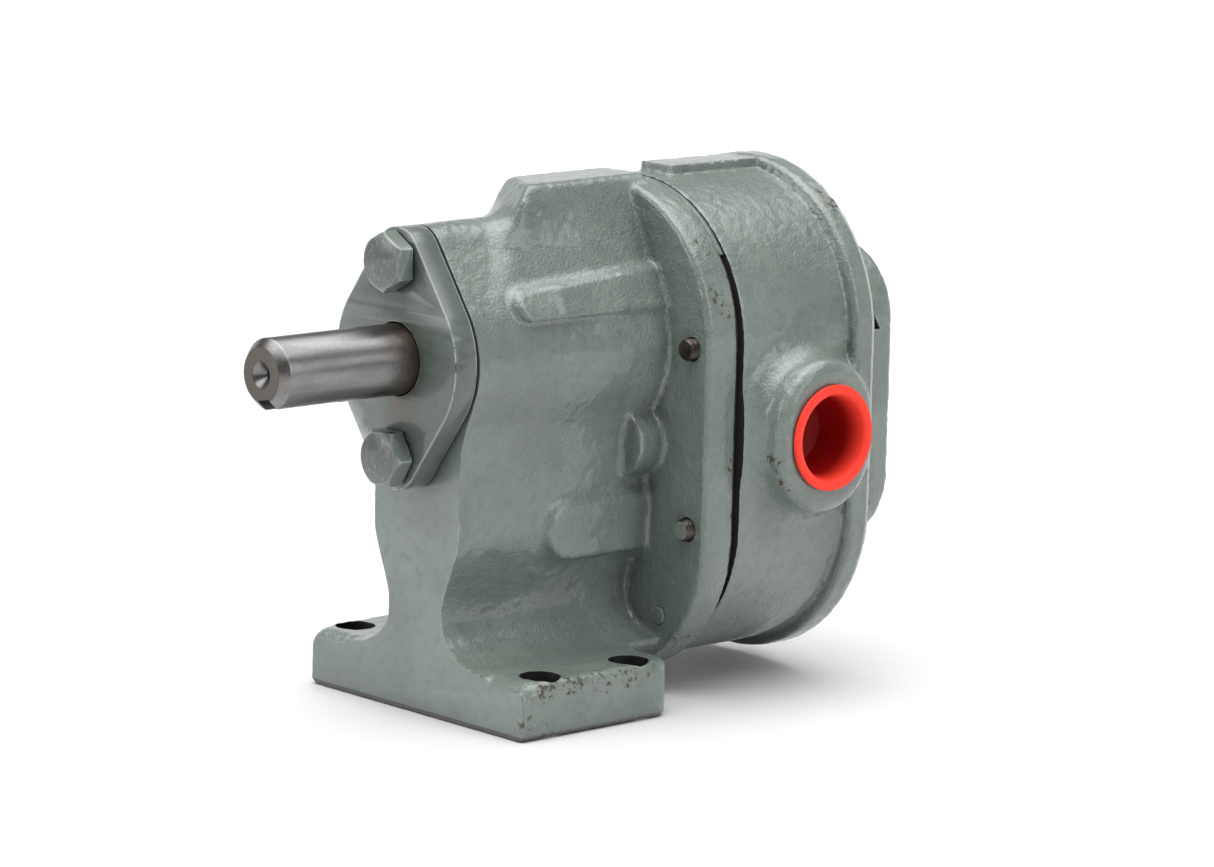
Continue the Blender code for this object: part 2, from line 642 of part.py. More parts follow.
# ---- joints between castings ----------------------------------------------------------------------------
def joint_gaskets():
    screws = [circle(x, z, SCREW_RADIUS + 0.5, 12) for x, z in SCREW_PLACES]
    dowel_holes = [circle(x, z, DOWEL_RADIUS + 0.5, 12) for x, z in DOWEL_PLACES]
    chamber = racetrack(POCKET_RADIUS + 0.6, SHAFT_HEIGHT, IDLER_HEIGHT, 24)
    outline = racetrack(FLANGE_RADIUS - 1.25, FLANGE_TOP - 0.25, FLANGE_BOTTOM + 0.6)
    loops = [outline, chamber] + screws + dowel_holes
    front = plate("front_joint_gasket", loops, FLANGE_BACK + GAP, CASE_FRONT - GAP)
    finish(front, GASKET, smooth=False)
    outline = hull([(x, z, COVER_CORNER_RADIUS - 1) for x, z in COVER_CORNERS], 24)
    bores = [circle(0, z, BUSH_OUTER + 0.6, 24) for z in (SHAFT_HEIGHT, IDLER_HEIGHT)]
    rear = plate("rear_joint_gasket", [outline] + screws[:4] + bores, CASE_BACK + 0.15, COVER_FRONT - 0.15)
    finish(rear, GASKET, smooth=False)


def case_screws():
    """Long socket-head screws, put in from the back, whose threads show at the front of the flange."""
    for i, (x, height) in enumerate(SCREW_PLACES):
        seat = COVER_BACK - SCREW_HEAD_SUNK if i < 4 else CASE_BACK
        start = FLANGE_FRONT - (3.4 if i == TOP_SCREW else SCREW_STAND_OUT)
        under_head = seat + GAP - start
        top = under_head + SCREW_HEAD_HEIGHT
        profile = [
            (0, top - 3.2), (2.7, top - 3.2), (2.7, top),
            (SCREW_HEAD_RADIUS, top), (SCREW_HEAD_RADIUS, under_head),
            (SCREW_RADIUS, under_head), (SCREW_RADIUS, 0.8), (SCREW_RADIUS - 0.8, 0), (0, 0),
        ]
        screw = turned(f"case_screw_{i + 1}", profile, (x, start, height), (0, 1, 0), False, 16)
        finish(screw, DARK_STEEL)


def dowels():
    r = DOWEL_RADIUS
    front = FLANGE_FRONT - 0.5
    length = CASE_FRONT + 8 - front
    profile = [(0, length), (r - 0.3, length), (r, length - 0.3), (r, 0.3), (r - 0.3, 0), (0, 0)]
    for name, (x, height) in zip(("dowel_lower", "dowel_upper"), DOWEL_PLACES):
        finish(turned(name, profile, (x, front, height), (0, 1, 0), False, 20), DARK_STEEL)


def port_plugs():
    """Push-in plugs: a thin flange on the boss and a cup that reaches into the port."""
    flange, cup, inside, depth = 14.6, PORT_RADIUS - 0.5, 10.9, 15.0
    profile = [
        (0, -depth + 1.2), (inside - 0.9, -depth + 1.2), (inside, 0.6), (inside + 0.5, 1.5),
        (flange, 1.5), (flange, 0.3), (cup, 0.3), (cup - 0.8, -depth), (0, -depth),
    ]
    for name, side in (("port_plug_right", 1), ("port_plug_left", -1)):
        centre = (side * PORT_FACE, PORT_DEPTH, PORT_HEIGHT)
        plug = turned(name, profile, centre, (side, 0, 0), False)
        finish(plug, RED_PLASTIC)
        hang_on_axis(name + "_axis", centre, [plug])


clear_scene()
PUMP = new_collection("gear_pump")
CUTTERS = new_collection("cutters")
front_housing()
gear_case()
rear_cover()
gland()
shaft_seal()
drive_train()
idler_train()
bushes()
joint_gaskets()
case_screws()
dowels()
port_plugs()
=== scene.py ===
"""The finished look of a foot-mounted external gear pump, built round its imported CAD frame.

Lengths inside the shape functions are millimetres. A depth is measured back (+Y) from the machined front
face of the housing, and a height is measured up from the floor.
"""
import json
import math

import bmesh
import bpy
import numpy as np
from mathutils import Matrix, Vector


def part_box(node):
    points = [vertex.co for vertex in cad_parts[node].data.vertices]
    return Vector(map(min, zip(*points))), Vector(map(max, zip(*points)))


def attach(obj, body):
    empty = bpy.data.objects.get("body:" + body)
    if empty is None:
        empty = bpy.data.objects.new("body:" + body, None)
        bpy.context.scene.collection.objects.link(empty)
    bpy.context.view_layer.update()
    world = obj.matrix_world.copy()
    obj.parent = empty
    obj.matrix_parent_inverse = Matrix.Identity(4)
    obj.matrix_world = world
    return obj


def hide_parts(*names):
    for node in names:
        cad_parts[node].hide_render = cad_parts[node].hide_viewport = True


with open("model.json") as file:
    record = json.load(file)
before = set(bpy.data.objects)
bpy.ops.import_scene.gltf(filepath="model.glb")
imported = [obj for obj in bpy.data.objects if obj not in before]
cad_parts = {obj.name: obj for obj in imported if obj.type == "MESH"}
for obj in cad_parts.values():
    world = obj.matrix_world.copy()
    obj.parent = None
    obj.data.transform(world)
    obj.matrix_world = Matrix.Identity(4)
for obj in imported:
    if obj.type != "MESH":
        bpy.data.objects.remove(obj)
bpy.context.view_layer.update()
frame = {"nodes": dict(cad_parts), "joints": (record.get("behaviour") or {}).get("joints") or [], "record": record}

import openvdb
from mathutils import Matrix, Vector

MM = 0.001


def span(node, axis):
    """The lowest and highest coordinate of a CAD node along an axis (0, 1, 2), in millimetres."""
    low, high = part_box(node)
    return low[axis] / MM, high[axis] / MM


def depths(node):
    """The front and back depth of a CAD node."""
    return tuple(y - FRONT_Y for y in span(node, 1))


def joint_height(name):
    return next(j for j in frame["joints"] if j["name"] == name)["pos_m"][2] / MM


# ---- sizes read from the frame ------------------------------------------------------------------
FRONT_Y = span("front_housing", 1)[0]
SHAFT_Z = joint_height("drive_spin")
IDLER_Z = joint_height("idler_spin")
FOOT_HALF = span("front_housing", 0)[1]
FLANGE_BACK = depths("front_housing")[1]
CASE_FRONT, CASE_BACK = depths("gear_case")
COVER_FRONT, COVER_BACK = depths("rear_cover")
RIM_RADIUS = span("gear_case", 2)[1] - SHAFT_Z
PLATE_FRONT, PLATE_BACK = depths("gland_plate")
SHAFT_RADIUS = (span("drive_shaft", 0)[1] - span("drive_shaft", 0)[0]) / 2
SHAFT_END, SHAFT_TAIL = depths("drive_shaft")
PORT_FACE = span("gear_case", 0)[1]
PORT_DEPTH = sum(span("port_plug_right", 1)) / 2 - FRONT_Y
PORT_Z = sum(span("port_plug_right", 2)) / 2
GLAND_BOLT_REACH = 26.15
NOSE_RADIUS, NOSE_END_RADIUS = 24.3, 9.1
FLANGE_FRONT = 66.0
FLANGE_RADIUS, FLANGE_TOP, FLANGE_BOTTOM = 42.45, 97.85, 45.4
PARTING_DEPTH = 72.2
DRUM_RADIUS = 43.5
FOOT_DEPTH, FOOT_HEIGHT = 54.6, 15.3
FOOT_HOLE_RADIUS = 5.53
SKIN = 0.05  # how uneven the sand-cast skin is
CELL = 0.7  # of the grids that castings are worked out on
FAR = 200.0  # beyond every part
SEAL_BORE, BUSH_BORE, GEAR_POCKET = 16.2, 12.6, 28.0
PORT_BORE, PORT_THROAT = 13.1, 8.5
BOLT_FLATS, BOLT_BORE = 14.29, 5.0
SCREW_RADIUS, SCREW_BORE, THREAD_PITCH = 3.1, 3.35, 1.27
HEAD_RADIUS, HEAD_HEIGHT, HEAD_SUNK = 4.5, 6.3, 5.2
DOWEL_BORE = 2.7
KEYWAY_WIDTH, KEYWAY_LENGTH, KEYWAY_DEPTH, KEYWAY_TILT = 4.76, 25.4, 3.0, -10.0
SCREWS = [f"case_screw_{i}" for i in range(1, 7)]
PAINTED_SCREW = "case_screw_4"
DOWELS = ("dowel_lower", "dowel_upper")


def centre(node):
    """(x, depth, height) of the middle of a CAD node."""
    x, y, z = (sum(span(node, axis)) / 2 for axis in range(3))
    return x, y - FRONT_Y, z


def at(x, depth, height):
    return Vector((x * MM, (depth + FRONT_Y) * MM, height * MM))


# ---- distance fields ----------------------------------------------------------------------------
def fuse(a, b, fillet=0.0):
    """Union of two fields, with a concave fillet of that radius."""
    if not np.any(fillet):
        return np.minimum(a, b)
    u, v = np.maximum(fillet - a, 0), np.maximum(fillet - b, 0)
    return np.maximum(fillet, np.minimum(a, b)) - np.hypot(u, v)


def trim(a, b, edge=0.0):
    """Intersection of two fields, with a rounded edge of that radius."""
    if not np.any(edge):
        return np.maximum(a, b)
    u, v = np.maximum(edge + a, 0), np.maximum(edge + b, 0)
    return np.minimum(-edge, np.maximum(a, b)) + np.hypot(u, v)


def extrude(flat, along, start, stop, start_edge=0.0, stop_edge=0.0):
    return trim(trim(flat, start - along, start_edge), along - stop, stop_edge)


def disc(u, v, cu, cv, radius):
    return np.hypot(u - cu, v - cv) - radius


def capsule(u, v, a, b, radius):
    """Distance to the line from a to b, less a radius."""
    du, dv = b[0] - a[0], b[1] - a[1]
    t = np.clip(((u - a[0]) * du + (v - a[1]) * dv) / (du * du + dv * dv), 0, 1)
    return np.hypot(u - a[0] - t * du, v - a[1] - t * dv) - radius


def rectangle(u, v, cu, cv, half_u, half_v, corner):
    qu, qv = np.abs(u - cu) - half_u + corner, np.abs(v - cv) - half_v + corner
    return np.minimum(np.maximum(qu, qv), 0) + np.hypot(np.maximum(qu, 0), np.maximum(qv, 0)) - corner


def polygon(u, v, corners):
    """Signed distance to a closed outline of straight sides."""
    best = None
    inside = None
    for (au, av), (bu, bv) in zip(corners, corners[1:] + corners[:1]):
        eu, ev = bu - au, bv - av
        wu, wv = u - au, v - av
        t = np.clip((wu * eu + wv * ev) / (eu * eu + ev * ev), 0, 1)
        gap = (wu - eu * t) ** 2 + (wv - ev * t) ** 2
        crosses = ((v >= av) != (v >= bv)) & ((eu * wv - ev * wu > 0) == (bv > av))
        best = gap if best is None else np.minimum(best, gap)
        inside = crosses if inside is None else inside ^ crosses
    return np.where(inside, -1, 1) * np.sqrt(best)


def lobes(u, v, radius, end_radius, reach):
    """A circle with a smaller circle above and below it, joined by tangents."""
    u, v = np.abs(u), np.abs(v)
    slope = (radius - end_radius) / reach
    run = math.sqrt(1 - slope * slope)
    k = -slope * u + run * v
    return np.where(
        k < 0,
        np.hypot(u, v) - radius,
        np.where(k > run * reach, np.hypot(u, v - reach) - end_radius, run * u + slope * v - radius),
    )


def lumps(shape, cell, size, seed):
    """Smooth random lumps of about a size in millimetres, with a spread of 1."""
    noise = np.random.default_rng(seed).standard_normal(shape).astype(np.float32)
    spectrum = np.fft.rfftn(noise)
    k = [np.fft.fftfreq(n, cell) for n in shape[:2]] + [np.fft.rfftfreq(shape[2], cell)]
    square = k[0][:, None, None] ** 2 + k[1][None, :, None] ** 2 + k[2][None, None, :] ** 2
    spectrum *= np.exp(-square * size * size / 2)
    noise = np.fft.irfftn(spectrum, s=shape, axes=(0, 1, 2)).astype(np.float32)
    return noise / noise.std()


class Mould:
    """A grid of points, in x, depth and height, on which a casting's distance field is worked out."""

    def __init__(self, low, high, cell):
        self.low = np.array(low, dtype=float)
        self.cell = cell
        axes = [np.arange(low[i], high[i] + cell, cell, dtype=np.float32) for i in range(3)]
        self.shape = tuple(len(a) for a in axes)
        self.x = axes[0][:, None, None]
        self.depth = axes[1][None, :, None]
        self.z = axes[2][None, None, :]

    def roughen(self, field, seed, amount=SKIN):
        """The uneven skin of a sand casting."""
        coarse = lumps(self.shape, self.cell, 3.6, seed)
        fine = lumps(self.shape, self.cell, 0.9, seed + 1)
        return field + amount * coarse + 0.4 * amount * fine

    def cast(self, name, field):
        """The surface where the field is zero, as an object."""
        reach = 3 * self.cell
        grid = openvdb.FloatGrid(reach)
        grid.copyFromArray(np.clip(np.broadcast_to(field, self.shape), -reach, reach).astype(np.float32))
        points, triangles, quads = grid.convertToPolygons(isovalue=0.0, adaptivity=0.0)
        points = (points.astype(float) * self.cell + self.low + (0, FRONT_Y, 0)) * MM
        mesh = bpy.data.meshes.new(name)
        mesh.from_pydata(points.tolist(), [], triangles.tolist() + quads.tolist())
        face_outward(mesh)
        return add(name, mesh)


# ---- solids and cuts ----------------------------------------------------------------------------
def add(name, mesh):
    obj = bpy.data.objects.new(name, mesh)
    bpy.context.scene.collection.objects.link(obj)
    return obj


def face_outward(mesh, merge=0.0):
    """Turns a closed mesh's faces outward, after joining points nearer than merge, in metres."""
    cage = bmesh.new()
    cage.from_mesh(mesh)
    if merge:
        bmesh.ops.remove_doubles(cage, verts=cage.verts, dist=merge)
    bmesh.ops.recalc_face_normals(cage, faces=cage.faces)
    cage.to_mesh(mesh)
    cage.free()


def rod(radius, start, stop, sides=64, name="cutter"):
    """A cylinder between two (x, depth, height) points."""
    a, b = at(*start), at(*stop)
    mesh = bpy.data.meshes.new(name)
    cage = bmesh.new()
    r = radius * MM
    bmesh.ops.create_cone(cage, cap_ends=True, segments=sides, radius1=r, radius2=r, depth=(b - a).length)
    cage.to_mesh(mesh)
    cage.free()
    mesh.transform((b - a).to_track_quat("Z", "Y").to_matrix().to_4x4())
    mesh.transform(Matrix.Translation((a + b) / 2))
    return add(name, mesh)


def bores_at(nodes, radius, start, stop):
    """Cutters along the depth through the middles of CAD nodes."""
    tools = []
    for node in nodes:
        x, _, height = centre(node)
        tools.append(rod(radius, (x, start, height), (x, stop, height), 32))
    return tools


def block(low, high):
    mesh = bpy.data.meshes.new("cutter")
    cage = bmesh.new()
    bmesh.ops.create_cube(cage, size=1.0)
    cage.to_mesh(mesh)
    cage.free()
    a, b = at(*low), at(*high)
    mesh.transform(Matrix.Diagonal((*(b - a), 1.0)))
    mesh.transform(Matrix.Translation((a + b) / 2))
    return add("cutter", mesh)


def prism(corners, low, high):
    """A straight block along x with a (depth, height) outline."""
    mesh = bpy.data.meshes.new("cutter")
    count = len(corners)
    ring = [at(x, *corner) for x in (low, high) for corner in corners]
    sides = [(i, (i + 1) % count, (i + 1) % count + count, i + count) for i in range(count)]
    mesh.from_pydata(ring, [], sides + [tuple(range(count)), tuple(range(count, 2 * count))])
    face_outward(mesh)
    return add("cutter", mesh)


def settle(obj):
    """Replaces an object's mesh by what its modifiers make of it."""
    bpy.context.view_layer.update()
    made = bpy.data.meshes.new_from_object(obj.evaluated_get(bpy.context.evaluated_depsgraph_get()))
    obj.modifiers.clear()
    obj.data = made
    return obj


def cut(obj, *tools, operation="DIFFERENCE"):
    for tool in tools:
        step = obj.modifiers.new("cut", "BOOLEAN")
        step.operation = operation
        step.solver = "MANIFOLD"
        step.object = tool
    settle(obj)
    for tool in tools:
        bpy.data.objects.remove(tool)
    return obj


def lathe(name, profile, start, axis, steps=96):
    """A turned piece from (radius, distance along the axis) points; start is its zero point."""
    mesh = bpy.data.meshes.new(name)
    cage = bmesh.new()
    corners = [cage.verts.new((r * MM, 0, along * MM)) for r, along in profile]
    for a, b in zip(corners, corners[1:]):
        cage.edges.new((a, b))
    cage.to_mesh(mesh)
    cage.free()
    obj = add(name, mesh)
    screw = obj.modifiers.new("lathe", "SCREW")
    screw.steps = steps
    screw.render_steps = steps
    screw.use_merge_vertices = True
    screw.merge_threshold = 0.000001
    settle(obj)
    obj.data.transform(Vector(axis).to_track_quat("Z", "Y").to_matrix().to_4x4())
    obj.data.transform(Matrix.Translation(at(*start)))
    return obj


def outline_plate(name, loops, front, back):
    """A flat piece across the shaft axis, from (x, height) outlines and holes."""
    curve = bpy.data.curves.new(name, "CURVE")
    curve.dimensions = "2D"
    curve.fill_mode = "BOTH"
    curve.extrude = (back - front) / 2 * MM
    for loop in loops:
        spline = curve.splines.new("POLY")
        spline.points.add(len(loop) - 1)
        for point, (x, z) in zip(spline.points, loop):
            point.co = (x * MM, z * MM, 0, 1)
        spline.use_cyclic_u = True
    obj = add(name, curve)
    bpy.context.view_layer.update()
    mesh = bpy.data.meshes.new_from_object(obj.evaluated_get(bpy.context.evaluated_depsgraph_get()))
    bpy.data.objects.remove(obj)
    face_outward(mesh, merge=0.000001)
    mesh.transform(Matrix.Rotation(math.radians(90), 4, "X"))
    mesh.transform(Matrix.Translation(at(0, (front + back) / 2, 0)))
    mesh.name = name
    return add(name, mesh)


def arc(x, z, radius, start, stop, steps):
    angles = [math.radians(start + (stop - start) * i / steps) for i in range(steps + 1)]
    return [(x + radius * math.cos(a), z + radius * math.sin(a)) for a in angles]


def circle(x, z, radius, steps=64):
    return arc(x, z, radius, 0, 360, steps)[:-1]


def lobed_outline(radius, end_radius):
    """The gland's outline as tangent arcs round the shaft axis."""
    tilt = math.degrees(math.acos((radius - end_radius) / GLAND_BOLT_REACH))
    top, bottom = SHAFT_Z + GLAND_BOLT_REACH, SHAFT_Z - GLAND_BOLT_REACH
    return (
        arc(0, SHAFT_Z, radius, tilt - 90, 90 - tilt, 24)
        + arc(0, top, end_radius, 90 - tilt, 90 + tilt, 24)
        + arc(0, SHAFT_Z, radius, 90 + tilt, 270 - tilt, 24)
        + arc(0, bottom, end_radius, 270 - tilt, 270 + tilt, 24)
    )


def racetrack_outline(radius, top, bottom):
    return arc(0, top, radius, 0, 180, 64) + arc(0, bottom, radius, 180, 360, 64)


def crisp(obj, angle=28):
    obj.data.shade_smooth()
    obj.data.set_sharp_from_angle(angle=math.radians(angle))
    return obj


def bevel(obj, width, segments=3, angle=30):
    step = obj.modifiers.new("bevel", "BEVEL")
    step.width = width * MM
    step.segments = segments
    step.limit_method = "ANGLE"
    step.angle_limit = math.radians(angle)
    step.harden_normals = True
    return settle(obj)


# ---- materials ----------------------------------------------------------------------------------
class Shader:
    """A small helper that wires one node material."""

    def __init__(self, name, **values):
        self.material = bpy.data.materials.new(name)
        self.material.use_nodes = True
        self.tree = self.material.node_tree
        self.surface = self.tree.nodes["Principled BSDF"]
        self.set(self.surface, **values)
        self.place = self.node("ShaderNodeTexCoord").outputs["Object"]

    def feed(self, socket, value):
        """Wires a value into a socket, or sets it where the value is a plain one."""
        if isinstance(value, bpy.types.NodeSocket):
            self.tree.links.new(value, socket)
        else:
            socket.default_value = value

    def set(self, node, **values):
        for key, value in values.items():
            self.feed(node.inputs[key.replace("_", " ")], value)
        return node

    def node(self, kind, options=(), **values):
        made = self.tree.nodes.new(kind)
        for key, value in dict(options).items():
            setattr(made, key, value)
        return self.set(made, **values)

    def noise(self, scale, detail=3.0, roughness=0.5, vector=None):
        values = {"Scale": scale, "Detail": detail, "Roughness": roughness, "Vector": vector or self.place}
        return self.node("ShaderNodeTexNoise", **values).outputs["Fac"]

    def stretch(self, x, y, z):
        return self.node("ShaderNodeMapping", Vector=self.place, Scale=(x, y, z)).outputs["Vector"]

    def place_along(self, axis):
        """The coordinate along an axis, in metres."""
        return self.node("ShaderNodeSeparateXYZ", Vector=self.place).outputs[axis]

    def distance(self, point):
        made = self.node("ShaderNodeVectorMath", [("operation", "DISTANCE")])
        self.tree.links.new(self.place, made.inputs[0])
        made.inputs[1].default_value = point
        return made.outputs["Value"]

    def ramp(self, value, low, high):
        """0 below low, 1 above high."""
        made = self.node("ShaderNodeMapRange", [("interpolation_type", "SMOOTHSTEP")], Value=value)
        made.inputs["From Min"].default_value = low
        made.inputs["From Max"].default_value = high
        return made.outputs["Result"]

    def math(self, operation, a, b=0.0):
        made = self.node("ShaderNodeMath", [("operation", operation)])
        for socket, value in zip(made.inputs, (a, b)):
            self.feed(socket, value)
        return made.outputs["Value"]

    def mix(self, factor, a, b):
        """Mixes two colours, each a socket or (red, green, blue)."""
        made = self.node("ShaderNodeMix", [("data_type", "RGBA")])
        self.feed(made.inputs[0], factor)
        for socket, value in ((made.inputs[6], a), (made.inputs[7], b)):
            self.feed(socket, (*value, 1.0) if isinstance(value, tuple) else value)
        return made.outputs[2]

    def blend(self, factor, a, b):
        """Mixes two numbers."""
        made = self.node("ShaderNodeMix", [("data_type", "FLOAT")])
        for socket, value in ((made.inputs[0], factor), (made.inputs[2], a), (made.inputs[3], b)):
            self.feed(socket, value)
        return made.outputs[0]

    def bump(self, height, distance, strength=1.0, under=None):
        made = self.node("ShaderNodeBump", Height=height, Distance=distance, Strength=strength)
        if under is not None:
            self.tree.links.new(under, made.inputs["Normal"])
        return made.outputs["Normal"]

    def soft_edges(self, radius):
        return self.node("ShaderNodeBevel", [("samples", 4)], Radius=radius).outputs["Normal"]

    def finish(self, **values):
        self.set(self.surface, **values)
        return self.material


PAINT = (0.126, 0.157, 0.139)
PAINT_PALE = (0.157, 0.191, 0.170)
PAINT_DEEP = (0.088, 0.112, 0.101)
WORN = (0.46, 0.49, 0.46)
CHIP = (0.034, 0.031, 0.027)
RUST = (0.085, 0.058, 0.040)
STAIN = (0.090, 0.062, 0.040)
# painted shade: the colour that hollows and creases are darkened towards
HOLLOW_SHADE = (0.030, 0.036, 0.031)
# where the paint is chipped most: x, depth, height and reach
CHIPPED = (
    (32.6, 70.8, 125.5, 3), (34.2, 71.5, 123.3, 3), (40.2, 70.0, 112.0, 4), (41.2, 73.0, 108.0, 4),
    (42.2, 71.7, 103.4, 3), (42.5, 74.6, 65.6, 3), (27.0, 123.0, 135.0, 5), (31.0, 123.2, 132.0, 5),
    (50.0, 80.4, 67.6, 4), (52.0, 82.0, 67.0, 4), (54.0, 83.0, 61.0, 4), (54.0, 84.5, 58.4, 3),
    (44.2, 8.0, 13.2, 6), (44.2, 18.0, 13.2, 6), (44.2, 28.0, 13.2, 6), (44.2, 38.0, 13.2, 5),
    (44.2, 46.0, 13.2, 4), (44.0, 1.0, 4.6, 4), (44.0, 9.0, 0.5, 4), (30.0, 70.0, 16.0, 6),
)


def paint_colour(s, shade):
    """Grey-green with broad pale clouds and small deep mottling."""
    colours = (PAINT, PAINT_PALE, PAINT_DEEP)
    paint, pale, deep = (tuple(shade * part for part in colour) for colour in colours)
    tone = s.mix(s.ramp(s.noise(45), 0.38, 0.66), paint, pale)
    return s.mix(s.math("MULTIPLY", s.ramp(s.noise(300, 4, 0.6), 0.45, 0.75), 0.5), tone, deep)


def edge_mask(s):
    """1 on sharp outside edges."""
    turned = s.node("ShaderNodeVectorMath", [("operation", "DOT_PRODUCT")])
    s.tree.links.new(s.soft_edges(0.0009), turned.inputs[0])
    s.tree.links.new(s.node("ShaderNodeNewGeometry").outputs["Normal"], turned.inputs[1])
    return s.ramp(turned.outputs["Value"], 0.985, 0.90)


def joint_wear(s):
    """A thin rubbed line along the last 0.9 mm of the drum's side, where the rear cover meets it."""
    along = s.place_along("Y")
    joint = (FRONT_Y + CASE_BACK) * MM
    starts, ends = s.ramp(along, joint - 0.0009, joint - 0.0006), s.ramp(along, joint + 0.0001, joint)
    line = s.math("MULTIPLY", starts, ends)
    normal = s.node("ShaderNodeNewGeometry").outputs["Normal"]
    rearward = s.math("ABSOLUTE", s.node("ShaderNodeSeparateXYZ", Vector=normal).outputs["Y"])
    return s.math("MULTIPLY", line, s.ramp(rearward, 0.8, 0.5))


def chip_mask(s, edge, chips):
    """1 where the paint has come off: specks, worn edges and the chipped places."""
    specks = s.ramp(s.noise(520, 5, 0.7), 0.69 - 0.04 * chips, 0.705 - 0.04 * chips)
    scarce = s.ramp(s.noise(34, 2), 0.50, 0.60)
    edge_specks = s.math("MULTIPLY", edge, s.ramp(s.noise(520, 4, 0.65), 0.54, 0.57))
    chipped = s.math("MULTIPLY", s.math("MAXIMUM", specks, edge_specks), scarce)
    fine = s.noise(560, 5, 0.7)
    for x, depth, height, reach in CHIPPED:
        near = s.ramp(s.distance(at(x, depth, height)), reach * MM, 0.3 * reach * MM)
        lost = s.ramp(s.math("ADD", fine, s.math("MULTIPLY", near, 0.13)), 0.665, 0.680)
        chipped = s.math("MAXIMUM", chipped, s.math("MULTIPLY", lost, s.ramp(near, 0.0, 0.1)))
    return chipped


def paint_skin(s, tone, chipped, roughness, peel):
    """Finishes a paint: painted shade in hollows, chips, a dark band along the bottom millimetre and an
    orange-peel of a depth in metres.
    """
    sole = s.ramp(s.place_along("Z"), 0.0013, 0.0010)
    # Painted shade: the paint darkens where little open sky is seen, in hollows and creases.
    open_sky = s.node("ShaderNodeAmbientOcclusion", [("samples", 6)], Distance=0.009).outputs["AO"]
    tone = s.mix(s.math("MULTIPLY", s.ramp(open_sky, 0.80, 0.25), 0.62), tone, HOLLOW_SHADE)
    tone = s.mix(chipped, tone, s.mix(s.noise(900, 2), CHIP, RUST))
    tone = s.mix(sole, tone, CHIP)
    normal = s.bump(s.noise(1350, 2), peel, 1.0, s.soft_edges(0.0004))
    rough = s.blend(s.noise(300, 4, 0.6), roughness - 0.06, roughness + 0.10)
    rough = s.math("ADD", rough, s.math("MULTIPLY", chipped, 0.25))
    coat = s.blend(chipped, 0.8, 0.0)
    return s.finish(Base_Color=tone, Roughness=rough, Coat_Weight=coat, Normal=normal)


def painted(name, roughness, peel, chips=0.5, wear=0.5, shade=1.0, gloss=0.13):
    """Grey-green machine paint."""
    s = Shader(name, Metallic=0.0, Specular_IOR_Level=0.5, Coat_Roughness=gloss)
    edge = edge_mask(s)
    pale_wear_and_light = s.math("MULTIPLY", edge, s.ramp(s.noise(160, 4, 0.6), 0.40, 0.62))
    tone = s.mix(s.math("MULTIPLY", pale_wear_and_light, wear), paint_colour(s, shade), WORN)
    tone = s.mix(s.math("MULTIPLY", joint_wear(s), 0.8), tone, WORN)
    return paint_skin(s, tone, chip_mask(s, edge, chips), roughness, peel)


def plate_paint():
    """The gland's paint: darkened all over as painted shade, with a painted pool of light low on the left,
    oil-stained under the shaft.
    """
    s = Shader("plate_paint", Metallic=0.0, Specular_IOR_Level=0.4, Coat_Roughness=0.12)
    edge = edge_mask(s)
    across, height = s.place_along("X"), s.place_along("Z")
    # Painted light: a pale patch towards the lower left, where the plate is lit most.
    low_left = s.math("MULTIPLY", s.math("ADD", across, height), -1.0)
    low_left = s.math("ADD", low_left, s.math("MULTIPLY", s.noise(170, 5, 0.65), 0.014))
    pale_wear_and_light = s.ramp(low_left, -0.062, -0.050)
    # Painted shade: the plate's paint is darkened to 0.60 of its usual tone.
    tone = s.mix(s.math("MULTIPLY", pale_wear_and_light, 0.75), paint_colour(s, 0.60), WORN)
    tone = s.mix(s.math("MULTIPLY", edge, 0.9), tone, WORN)
    drip = s.ramp(s.distance(at(3.0, PLATE_FRONT, SHAFT_Z - 12.5)), 0.0075, 0.002)
    drip = s.math("MULTIPLY", drip, s.ramp(s.noise(420, 5, 0.7), 0.36, 0.52))
    tone = s.mix(s.math("MULTIPLY", drip, 0.8), tone, STAIN)
    return paint_skin(s, tone, chip_mask(s, edge, 0.6), 0.40, 0.00005)


def joint_shade_face():
    """The faces inside the joint behind the flange: near-black as painted shade down in the joint, painted over at
    the top.
    """
    s = Shader("joint_shade_face", Metallic=0.0, Specular_IOR_Level=0.2)
    top = s.ramp(s.place_along("Z"), 0.124, 0.129)
    # Painted shade: near-black stands for the shade down in the joint; above 124 to 129 mm it turns to deep paint.
    tone = s.mix(top, s.mix(s.noise(400, 3), (0.012, 0.012, 0.011), (0.026, 0.025, 0.022)), PAINT_DEEP)
    return s.finish(Base_Color=tone, Roughness=0.7, Normal=s.bump(s.noise(1200, 2), 0.00005))


def bolt_face_paint():
    """A bolt's front face: darkened as painted shade, with pale scuffs."""
    s = Shader("bolt_face_paint", Metallic=0.0, Specular_IOR_Level=0.5, Coat_Roughness=0.14)
    edge = edge_mask(s)
    scuffs = s.ramp(s.noise(1.0, 4, 0.7, s.stretch(2400, 300, 500)), 0.56, 0.66)
    # Painted shade: the paint is darkened to 0.36 on the front face.
    tone = s.mix(s.math("MULTIPLY", scuffs, 0.35), paint_colour(s, 0.36), WORN)
    tone = s.mix(edge, tone, WORN)
    return paint_skin(s, tone, chip_mask(s, edge, 0.5), 0.36, 0.00006)


